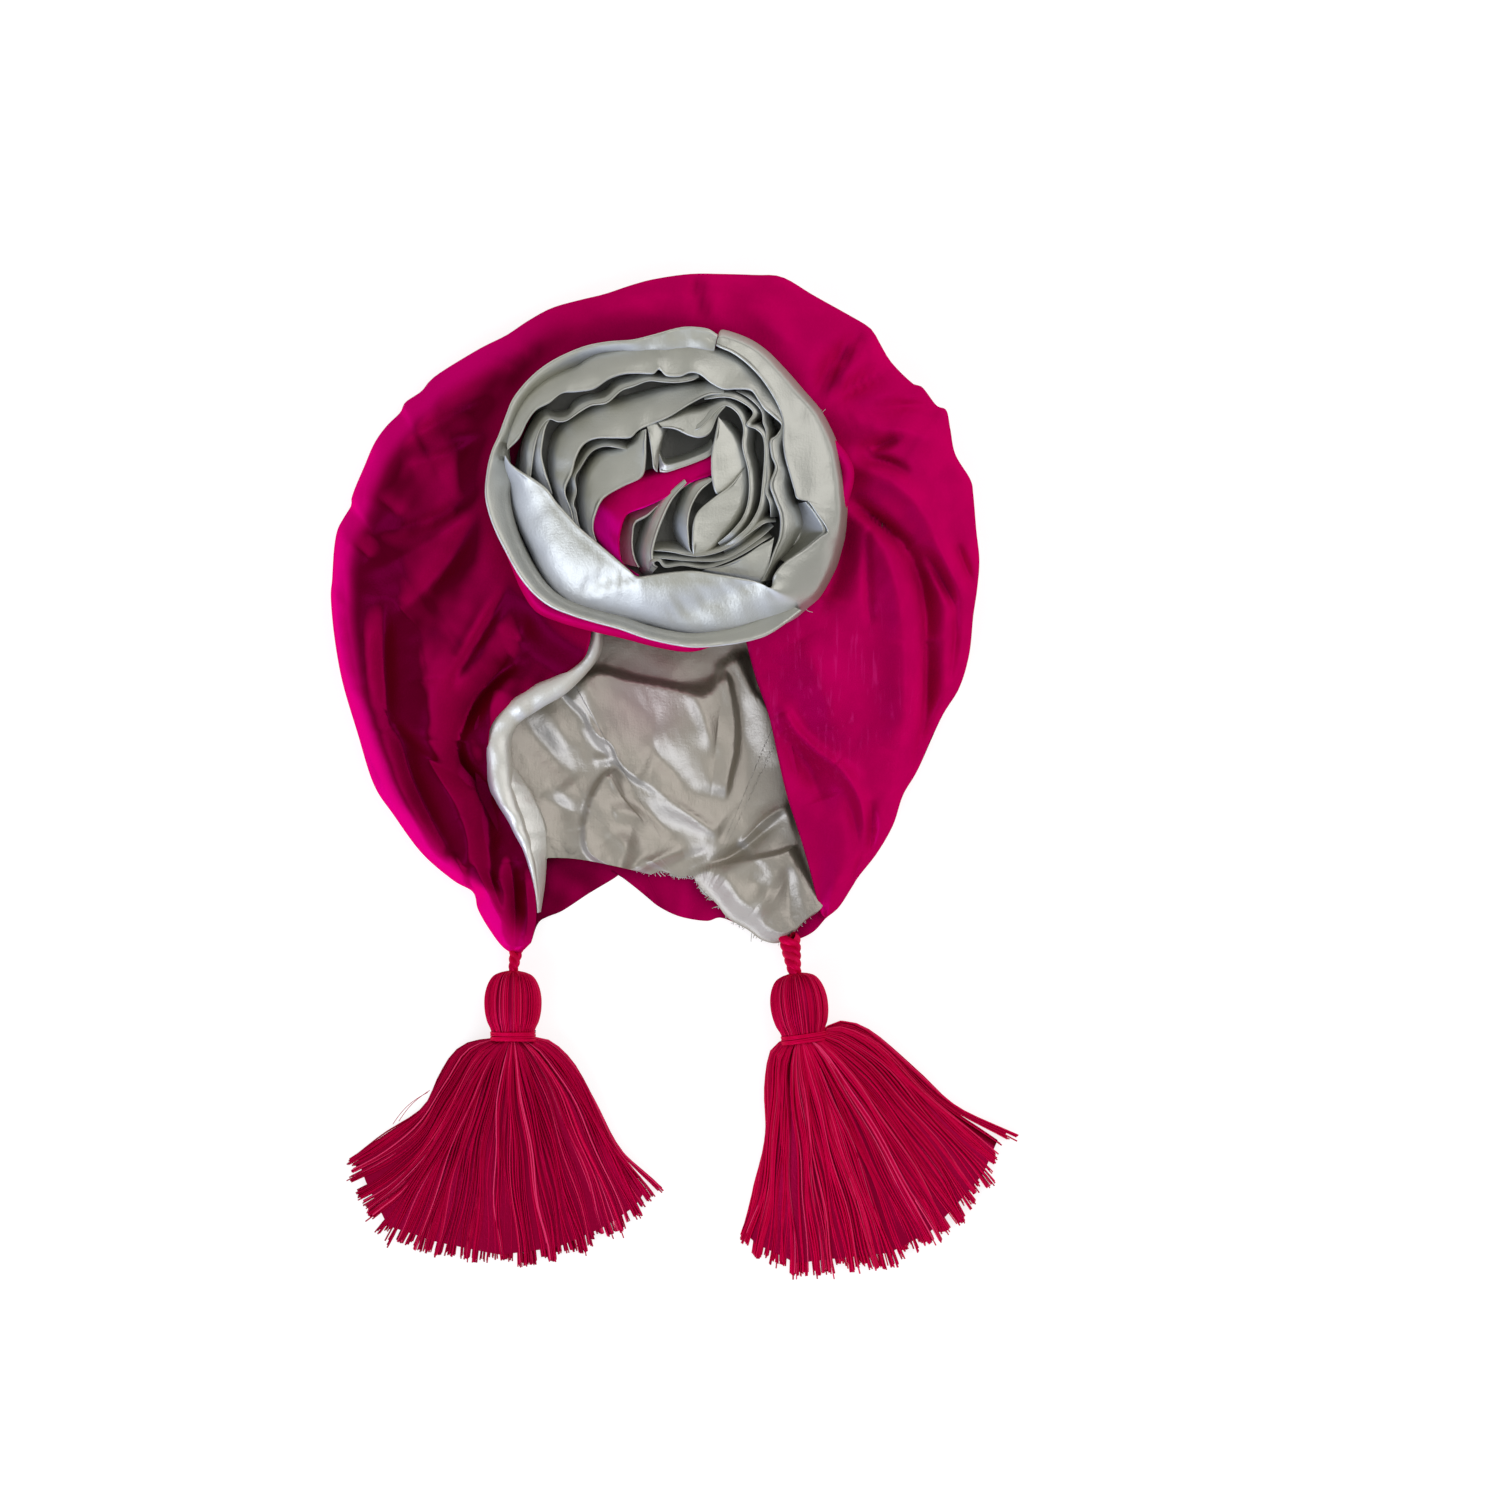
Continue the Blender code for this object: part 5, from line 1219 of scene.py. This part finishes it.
def band_section(width, top, edge):
    """Across and height of a folded band in mm, from the foot outside over the face to the lip and down."""
    rise = top - edge
    lip = np.minimum(1.3, 0.32 * width)
    foot = [(np.full_like(width, -across), level * edge) for across, level in BAND_FOOT]
    face = [(across * width, edge + level * rise) for across, level in BAND_FACE]
    return foot + face + [
        (width - lip, top), (width - 0.55 * lip, top + 0.25 * lip), (width - 0.15 * lip, top + 0.1 * lip),
        (width, top - 0.5 * lip), (width - 0.25 * lip, top - 1.3 * lip),
        (width - 0.9 * lip, top - 2.8 * lip), (width - lip, 0.65 * top), (width - lip, 0.2 * top),
    ]


def ring_section(width, top, edge):
    """A narrow ring whose high rim is outside and whose face falls inward."""
    rim = np.minimum(1.1, 0.3 * width)
    zero = np.zeros_like(width)
    return [
        (zero + 2.2, 0.12 * edge), (zero + 0.8, 0.55 * edge), (zero + 0.1, edge - 2.2), (zero, edge - 1.0),
        (0.25 * rim, edge - 0.3), (0.7 * rim, edge), (1.3 * rim, edge - 0.15), (2.0 * rim, edge - 0.6),
        (0.45 * width + rim, edge + 0.45 * (top - edge)), (0.65 * width + rim, edge + 0.75 * (top - edge)),
        (0.85 * width + rim, top), (width + 2.0, top - 1.0), (width + 2.6, 0.5 * top),
    ]


def build_band(name, rows, material, sizes, seed, section=band_section, folds=()):
    """One band of the rosette from its table."""
    curve = smooth_curve(placed_fine(rows, 2), 8)
    length = np.linalg.norm(np.diff(curve[:, 2:4], axis=0), axis=1).sum() / 2
    length += np.linalg.norm(np.diff(curve[:, 0:2], axis=0), axis=1).sum() / 2
    steps = np.linalg.norm(np.diff(curve[:, 0:4], axis=0), axis=1)
    places = np.concatenate([[0], np.cumsum(steps)]) / steps.sum()
    shares = np.linspace(0, 1, max(LEAST_COLUMNS, int(length / COLUMN_WIDTH)))
    curve = np.stack([np.interp(shares, places, column) for column in curve.T], axis=-1)
    outer, inner = curve[:, 0:2], curve[:, 2:4]
    width = np.maximum(np.linalg.norm(inner - outer, axis=1), LEAST_WIDTH)
    inward = (inner - outer) / width[:, None]
    top, edge = (curve[:, 4:6] * (sizes.rosette_height / MM)).T
    points = []
    for across, level in section(width, top, edge):
        place = outer + inward * across[:, None]
        level = level.copy()
        upper = smooth_step((level - 0.5 * edge) / (0.4 * edge))
        if len(folds):
            level += upper * fold_heights(place, folds)
        waves = 0.17 * ripple(place, size=10, seed=seed) + 0.05 * ripple(place, size=4, seed=seed + 50)
        level += upper * waves
        points.append(np.column_stack([place + ROSETTE_MIDDLE, level + sizes.seat_height / MM + GAP]))
    return grid_piece(name, np.array(points), material)


def rim_table(points, top, width):
    """A band's table for a thin lip along the given places, narrower and lower at its two ends."""
    points = np.array(points, float)
    run = np.gradient(points, axis=0)
    run /= np.linalg.norm(run, axis=1)[:, None]
    ends = np.ones(len(points))
    ends[[0, -1]] = 0.45
    outer = points + np.column_stack([run[:, 1], -run[:, 0]]) * width * ends[:, None]
    level = np.where(ends < 1, top - 0.10, top)
    return np.column_stack([outer, points, level, level - 0.03])


def build_wrap(sizes):
    """The hat cloth wound round the rosette's foot."""
    edge = placed_fine(WRAP_EDGE, 1)
    edge = smooth_curve(np.vstack([edge, edge[:1]]), 10)
    places = read_curve(edge, np.linspace(0, 1, 320))
    outward = places / np.linalg.norm(places, axis=1)[:, None]
    base, height = sizes.seat_height / MM, sizes.rosette_height / MM
    rows = []
    for back, level in WRAP_SECTION:
        place = places + outward * back
        wave = 0.3 * ripple(place, size=14, seed=61)
        rows.append(np.column_stack([place + ROSETTE_MIDDLE, base + level * height + wave]))
    return grid_piece("rosette_foot_wrap", np.array(rows), finishes()["plain_crepe"])


def build_rosette_base(sizes):
    """A low pad of satin under the coil, seen only in the gaps between its turns, darkened as painted shade
    for those gaps.
    """
    angles = np.linspace(0, 2 * math.pi, 121)
    rows = []
    for radius, level in PAD_SECTION:
        place = ROSETTE_MIDDLE + np.column_stack([np.cos(angles), np.sin(angles)]) * radius
        height = sizes.seat_height / MM + level + 0.4 * ripple(place, size=12, seed=71)
        rows.append(np.column_stack([place, height]))
    return grid_piece("rosette_pad", np.array(rows), finishes()["deep_satin"])


def loose_threads(name, pairs, heights, material, seed, bow=1.2):
    """Thin single threads between pairs of places, each bowed a little to one side."""
    random = np.random.default_rng(seed)
    radius, tone = 0.13, 0.7
    shares = np.linspace(0, 1, 12)[:, None]
    level = heights[0] + (heights[1] - heights[0]) * shares
    paths = []
    for start, end in pairs:
        run = (end - start) / np.linalg.norm(end - start)
        aside = np.array((run[1], -run[0])) * np.sin(math.pi * shares) * bow * random.uniform(0.6, 1.2)
        paths.append(np.hstack([start + (end - start) * shares + aside, level]))
    paths = np.array(paths)
    return thread_piece(name, paths, np.full(paths.shape[:2], radius), np.full(len(paths), tone), material)


def build_frayed_ends(sizes):
    """Short satin threads pulled loose at the rosette's right edge."""
    random = np.random.default_rng(31)
    pairs = []
    for place in placed(FRAYED_PLACES, 1):
        for _ in range(6):
            start = place + random.normal(0, 0.7, 2)
            pairs.append((start, start + (1.4, 0.5) + random.normal(0, 1.2, 2)))
    base = sizes.seat_height / MM
    heights = (base + 8.0, base + 6.0)
    return loose_threads("rosette_frayed_ends", pairs, heights, finishes()["lit_satin"], 32, 0.6)


def guide_table(guides):
    """A skirt's guides in mm."""
    guides = np.array(guides, float)
    return np.column_stack([guides[:, 0], placed(guides[:, 1:], 6)])


def skirt_heights(shares):
    """Heights of a skirt's upper and lower side in mm at shares of its length."""
    heights = np.array(SKIRT_HEIGHTS)
    return np.interp(shares, heights[:, 0], heights[:, 1]), np.interp(shares, heights[:, 0], heights[:, 2])


def skirt_spread(random, count):
    """Where a skirt's threads lie: share of the way across, in locks, and depth of the layer from 0 to 1."""
    each = count // SKIRT_LAYERS
    across = np.sort(np.clip((np.arange(count) % each + random.random(count)) / each, 0, 1))
    random.shuffle(across)
    layer = np.repeat(np.arange(SKIRT_LAYERS), each + 1)[:count] / (SKIRT_LAYERS - 1.0)
    across = across + 0.012 * np.sin(2 * math.pi * LOCKS * across + 1.0) + random.normal(0, 0.004, count)
    return np.clip(across, 0.0, 1.0), layer


def skirt_plan(random, table, across, shares):
    """Places of a skirt's threads in plan, drawn together in clumps towards tips of uneven length."""
    count, fine = len(across), 60
    threads = np.arange(count)
    lines = [smooth_curve(row[1:].reshape(6, 2), 12) for row in table]
    lines = np.array([read_curve(line, np.linspace(0, 1, fine + 1)) for line in lines])
    edges = np.sort(random.uniform(0, 1, CLUMPS - 1))
    clump = np.searchsorted(edges, across)
    heart = (np.concatenate([[0], edges]) + np.concatenate([edges, [1]]))[clump] / 2
    reach = 1 - 0.045 * (random.random(CLUMPS) ** 1.4)[clump] - 0.024 * random.random(count)
    reach += 0.025 * (random.random(count) > 0.985)
    plan = np.zeros((count, len(shares), 2))
    for step, share in enumerate(shares):
        spread = across + (heart - across) * 0.40 * smooth_step((share - 0.72) / 0.28)
        at = np.clip(share * reach, 0, 1.0) * fine
        low = np.clip(at.astype(int), 0, fine - 1)
        beyond = np.clip(share * reach - 1.0, 0, 1)
        for axis in (0, 1):
            columns = np.array([np.interp(spread, table[:, 0], line) for line in lines[:, :, axis].T])
            first, second = columns[low, threads], columns[low + 1, threads]
            plan[:, step, axis] = first + (second - first) * (at - low)
            plan[:, step, axis] += (second - first) * beyond * fine
    sway = random.normal(0, 0.45, (count, 2))[:, :1] * np.sin(math.pi * shares * 1.3)
    speed, start = random.uniform(6, 16, (count, 1)), random.uniform(0, 6, (count, 1))
    plan[..., 0] += sway + 0.25 * np.sin(shares * speed + start) * shares
    plan[..., 0] += 0.55 * np.sin(shares * 13 + 5 * np.sin(across * 17)[:, None]) * smooth_step(shares * 3)
    return plan


def skirt_paths(guides, count, seed):
    """Paths of a skirt's threads from the neck to the tips, and the depth of each thread's layer."""
    random = np.random.default_rng(seed)
    shares = np.linspace(0, 1, 18)
    across, layer = skirt_spread(random, count)
    plan = skirt_plan(random, guide_table(guides), across, shares)
    upper, lower = skirt_heights(shares)
    arch = np.sin(math.pi * np.clip(across, 0.02, 0.98))[:, None] ** ARCH_POWER
    groove = (0.5 - 0.5 * np.cos(2 * math.pi * LOCKS * across + 1.0))[:, None]
    groove = 0.10 * groove * smooth_step(shares * 4)
    depth = (1 - layer * 0.28)[:, None] * (1 - groove)
    height = lower + (upper - lower) * arch * depth + random.normal(0, 0.25, (count, 1))
    return np.dstack([plan, np.maximum(height, THREAD_FLOOR)]), layer


def build_skirt_threads(side, guides, tone, seed, sizes):
    """The single threads of a tassel's skirt, the lower layers in painted shade and a few with painted
    glints.
    """
    count = sizes.skirt_threads
    paths, layer = skirt_paths(guides, count, seed)
    random = np.random.default_rng(seed + 7)
    radius = sizes.thread_width / 2 / MM
    radii = np.full(paths.shape[:2], radius) * random.uniform(0.85, 1.2, (count, 1))
    # Threads of the lower layers are painted darker, as painted shade under the upper ones.
    tones = random.normal(tone, 0.16, count) - 0.18 * layer
    # A few threads get tones above one, which their material paints as glints.
    tones = np.where(random.random(count) > 0.91, random.uniform(1.15, 1.6, count), tones)
    tones = np.clip(tones, 0, 1.6)
    return thread_piece(side + "_skirt_threads", paths, radii, tones, finishes()["twisted_thread"])


def build_skirt_body(side, guides):
    """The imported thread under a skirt's single threads."""
    table = guide_table(guides)
    rows = []
    for share in np.linspace(0.0, 0.93, 22):
        upper, lower = skirt_heights(share)
        points = []
        for around in np.linspace(0, 2, 73):
            place = 0.025 + 0.95 * (around if around <= 1 else 2 - around)
            guide = np.array([np.interp(place, table[:, 0], column) for column in table[:, 1:].T])
            spot = read_curve(smooth_curve(guide.reshape(6, 2), 4), np.array([share]))[0]
            level = lower
            if around <= 1:
                level = lower + (upper - lower) * math.sin(math.pi * place) ** ARCH_POWER * 0.86
            points.append((spot[0], spot[1], level))
        rows.append(points)
    return grid_piece(side + "_skirt_body", np.array(rows), finishes()["twisted_thread"])


def ring_round(tilt, turns):
    """Directions round a tassel's axis, which lies flat and turns from +Y by the tilt."""
    across = np.array((math.cos(tilt), math.sin(tilt), 0.0))
    return across * np.cos(turns)[..., None] + UP * np.sin(turns)[..., None]


def build_head_core(side, middle, axis, tilt, profile, sizes):
    """The round core of a tassel's head."""
    radius, length = sizes.head_radius / MM, sizes.head_length / MM
    ring = ring_round(tilt, np.linspace(0, 2 * math.pi, 61))
    rows = [middle + axis * along * length + ring * (share * radius - 0.35) for along, share in profile]
    return grid_piece(side + "_head_core", np.array(rows), finishes()["twisted_thread"])


def build_head_threads(side, middle, axis, tilt, profile, sizes):
    """The threads laid over a tassel's head from its top to its neck."""
    random = np.random.default_rng(int(1000 + middle[0]))
    count, thread_radius = 150, 0.27
    turns = np.linspace(0, 2 * math.pi, count, endpoint=False) + random.normal(0, 0.012, count)
    bow = 0.10 * np.sin(np.linspace(0, math.pi, len(profile)))
    ring = ring_round(tilt, turns[:, None] + bow * random.normal(0, 1, (count, 1)) * 0.5)
    reach = profile[:, 1] * (sizes.head_radius / MM) - 0.15
    reach = reach[None, :, None] + random.normal(0, 0.06, (count, 1, 1))
    paths = middle + axis * (profile[:, 0] * (sizes.head_length / MM))[None, :, None] + ring * reach
    radii = np.clip(thread_radius * profile[:, 1], 0.10, thread_radius)
    radii = radii * random.uniform(0.85, 1.15, (count, 1))
    tones = np.clip(random.normal(0.85, 0.14, count), 0, 1)
    # A few head threads get a tone above one, painted as glints.
    tones = np.where(random.random(count) > 0.90, 1.25, tones)
    return thread_piece(side + "_head_threads", paths, radii, tones, finishes()["twisted_thread"])


def build_neck_winding(side, middle, axis, tilt, sizes):
    """The thread bound round a tassel's neck."""
    steps, rounds, half_width, radius = 240, 6, 1.9, 0.36
    turns = np.linspace(0, 2 * math.pi * rounds, steps)
    wind = np.linspace(-half_width, half_width, steps) + 0.15 * np.sin(turns * 0.7)
    path = middle + axis * wind[:, None] + ring_round(tilt, turns) * (0.74 * (sizes.head_radius / MM) + 0.55)
    path[:, 2] = np.maximum(path[:, 2], THREAD_FLOOR)
    radii, tones = np.full((1, steps), radius), np.array([0.95])
    return thread_piece(side + "_neck_winding", path[None], radii, tones, finishes()["twisted_thread"], 6)


def build_head(side, neck, tilt, sizes):
    """A tassel's head: threads laid over a round core, and the thread bound round the neck."""
    axis = np.array((-math.sin(tilt), math.cos(tilt), 0.0))
    middle = np.array((neck[0], neck[1], sizes.head_radius / MM + THREAD_FLOOR))
    profile = smooth_curve(HEAD_PROFILE, 6)
    core = build_head_core(side, middle, axis, tilt, profile, sizes)
    threads = build_head_threads(side, middle, axis, tilt, profile, sizes)
    return core, threads, build_neck_winding(side, middle, axis, tilt, sizes)


def build_loop(side, start, neck, tilt, width, sizes):
    """The short twisted cord that hangs a tassel on a corner of the bag."""
    steps, plies, twist = 40, 3, 1.6
    end = neck + np.array((-math.sin(tilt), math.cos(tilt))) * sizes.head_length / MM
    shares = np.linspace(0, 1, steps)
    low, high = 0.70 * width, 1.0 + sizes.head_radius / MM
    rise = low + (high - low) * smooth_step((shares - 0.2) / 0.7)
    middle = np.column_stack([start + (end - start) * shares[:, None], rise])
    run = (end - start) / np.linalg.norm(end - start)
    aside = np.array((run[1], -run[0], 0.0))
    swell = (0.5 + 0.2 * np.cos(shares * 2.6))[:, None] * width / 2
    paths = []
    for ply in range(plies):
        turn = shares * 2 * math.pi * twist + 2 * math.pi * ply / plies
        paths.append(middle + (aside * np.cos(turn)[:, None] + UP * np.sin(turn)[:, None]) * swell)
    radii = np.tile(np.full(steps, width * 0.27) * (1.08 - 0.25 * shares), (plies, 1))
    paths, tones = np.array(paths), np.array([0.9, 1.1, 0.8])
    return thread_piece(side + "_hanging_loop", paths, radii, tones, finishes()["twisted_thread"], 8)


class HAT_OT_bag(bpy.types.Operator):
    """Builds the crepe bag"""
    bl_idname = "hat.bag"
    bl_label = "Bag"

    def execute(self, context):
        piece = build_bag(context.scene.hat_sizes)
        settle(piece, "magenta_crepe", "crown_shell")
        return {"FINISHED"}


class HAT_OT_lining(bpy.types.Operator):
    """Builds the crumpled satin lining with its raw hem, and the facing of the face edge"""
    bl_idname = "hat.lining"
    bl_label = "Lining"

    def execute(self, context):
        sizes = context.scene.hat_sizes
        piece, hem = build_lining(sizes)
        settle(piece, "grey_satin", "crown_lining")
        threads = settle(build_hem_threads(hem), "grey_satin")
        tape = settle(build_edge_tape(sizes), "grey_satin", "edge_facing")
        flap = settle(build_wing_lining(sizes), "grey_satin")
        return {"FINISHED"}


class HAT_OT_rosette(bpy.types.Operator):
    """Builds the rosette's folded bands, the crescent in its heart and the cloth round its foot"""
    bl_idname = "hat.rosette"
    bl_label = "Rosette"

    def execute(self, context):
        sizes = context.scene.hat_sizes
        satin = finishes()["lit_satin"]
        ring = build_band("rosette_ring", OUTER_RING, satin, sizes, 90, ring_section)
        settle(ring, "grey_satin", "rosette_outer_turn")
        for index, (title, rows) in enumerate(SATIN_BANDS):
            folds = ROSETTE_CREASES if title == "outer_band" else ()
            band = build_band("rosette_" + title, rows, satin, sizes, 100 + index, folds=folds)
            settle(band, "grey_satin", *BAND_NODES.get(title, ()))
        for index, (title, top, width, points) in enumerate(THIN_RIMS):
            band = build_band("rosette_" + title, rim_table(points, top, width), satin, sizes, 140 + index)
            settle(band, "grey_satin")
        heart = build_band("rosette_crescent", CRESCENT, finishes()["heart_crepe"], sizes, 80)
        settle(heart, "magenta_crepe", "rosette_tail")
        wrap = settle(build_wrap(sizes), "magenta_crepe", "rosette_wrap")
        settle(build_frayed_ends(sizes), "grey_satin")
        pad = settle(build_rosette_base(sizes), "grey_satin")
        return {"FINISHED"}


class HAT_OT_tassels(bpy.types.Operator):
    """Builds both thread tassels with their heads, windings and loops"""
    bl_idname = "hat.tassels"
    bl_label = "Tassels"

    def execute(self, context):
        sizes = context.scene.hat_sizes
        thread = finishes()["twisted_thread"]
        for side, guides, tone, neck, tilt, start, width, seed in TASSELS:
            settle(build_skirt_threads(side, guides, tone, seed, sizes), "crimson_thread", side + "_tassel")
            settle(build_skirt_body(side, guides), "crimson_thread")
            places = placed(STRAY_THREADS[side], 2)
            pairs = list(zip(places[:, 0:2], places[:, 2:4]))
            settle(loose_threads(side + "_stray_threads", pairs, (7.0, 5.0), thread, seed), "crimson_thread")
            core, strands, binding = build_head(side, neck, tilt, sizes)
            settle(core, "crimson_thread")
            settle(strands, "crimson_thread")
            settle(binding, "crimson_thread", side + "_tassel_binding")
            loop = build_loop(side, np.array(start), np.array(neck), tilt, width, sizes)
            settle(loop, "crimson_thread", side + "_tassel_loop")
        return {"FINISHED"}


def add_floor(glow):
    """A plain sheet of pale paper just under the hat."""
    bpy.ops.mesh.primitive_plane_add(size=8.0, location=(0, 0, -0.0003))
    floor = bpy.context.object
    floor.name = "paper_floor"
    finish = Finish("white_paper")
    grain = finish.noise(finish.place(), 40.0, 3.0)
    colour = finish.mix(grain.step(0.3, 0.7), (0.35, 0.35, 0.35, 1), (0.37, 0.37, 0.37, 1))
    skin = finish.skin(Base_Color=colour, Roughness=0.9, Specular_IOR_Level=0.0,
                       Emission_Color=(1.0, 1.0, 1.0, 1), Emission_Strength=glow)
    floor.data.materials.append(finish.end(skin))


def add_sky(scene, level):
    """Even light from all sides."""
    world = bpy.data.worlds.new("even_light")
    world.use_nodes = True
    sky = world.node_tree.nodes["Background"]
    sky.inputs["Color"].default_value = (0.97, 0.98, 1.0, 1)
    sky.inputs["Strength"].default_value = level
    scene.world = world


def add_light(scene, name, way, distance, size, power, colour):
    """A round soft light that looks at the hat's middle."""
    lamp = bpy.data.lights.new(name, "AREA")
    lamp.shape = "DISK"
    lamp.size = size
    lamp.energy = power
    lamp.color = colour
    light = bpy.data.objects.new(name, lamp)
    scene.collection.objects.link(light)
    direction = Vector(way).normalized()
    light.location = Vector(LIT_MIDDLE) + direction * distance
    light.rotation_euler = direction.to_track_quat("Z", "Y").to_euler()


def add_camera(scene):
    """The camera straight above, with a lens that takes in the photograph's width."""
    optics = bpy.data.cameras.new("photo_camera")
    optics.lens = SENSOR_WIDTH * CAMERA_PLACE[2] / VIEW_WIDTH
    optics.clip_end = 20.0
    camera = bpy.data.objects.new("photo_camera", optics)
    camera.location = CAMERA_PLACE
    scene.collection.objects.link(camera)
    scene.camera = camera


class HAT_OT_stage(bpy.types.Operator):
    """Builds the floor, the lights and the camera"""
    bl_idname = "hat.stage"
    bl_label = "Stage"

    def execute(self, context):
        scene, levels = context.scene, context.scene.light_levels
        scene.view_settings.view_transform = "Standard"
        add_floor(levels.floor_glow)
        add_sky(scene, levels.sky_level)
        for name, way, distance, size, level, colour in LIGHTS:
            add_light(scene, name, way, distance, size, getattr(levels, level), colour)
        add_camera(scene)
        return {"FINISHED"}


class HAT_PT_panel(bpy.types.Panel):
    bl_idname = "HAT_PT_panel"
    bl_label = "Turban Hat"
    bl_space_type = "VIEW_3D"
    bl_region_type = "UI"
    bl_category = "Turban Hat"

    def draw(self, context):
        for operator in (HAT_OT_bag, HAT_OT_lining, HAT_OT_rosette, HAT_OT_tassels, HAT_OT_stage):
            self.layout.operator(operator.bl_idname)
        for group in (context.scene.hat_sizes, context.scene.hat_colours, context.scene.light_levels):
            for name in group.__annotations__:
                self.layout.prop(group, name)


CLASSES = (
    HatSizes, HatColours, LightLevels,
    HAT_OT_bag, HAT_OT_lining, HAT_OT_rosette, HAT_OT_tassels, HAT_OT_stage, HAT_PT_panel,
)


def register():
    for item in CLASSES:
        bpy.utils.register_class(item)
    bpy.types.Scene.hat_sizes = bpy.props.PointerProperty(type=HatSizes)
    bpy.types.Scene.hat_colours = bpy.props.PointerProperty(type=HatColours)
    bpy.types.Scene.light_levels = bpy.props.PointerProperty(type=LightLevels)


def unregister():
    for name in ("light_levels", "hat_colours", "hat_sizes"):
        delattr(bpy.types.Scene, name)
    for item in reversed(CLASSES):
        bpy.utils.unregister_class(item)


def main():
    register()
    bpy.ops.hat.stage()
    bpy.ops.hat.bag()
    bpy.ops.hat.lining()
    bpy.ops.hat.rosette()
    bpy.ops.hat.tassels()


if __name__ == "__main__":
    main()
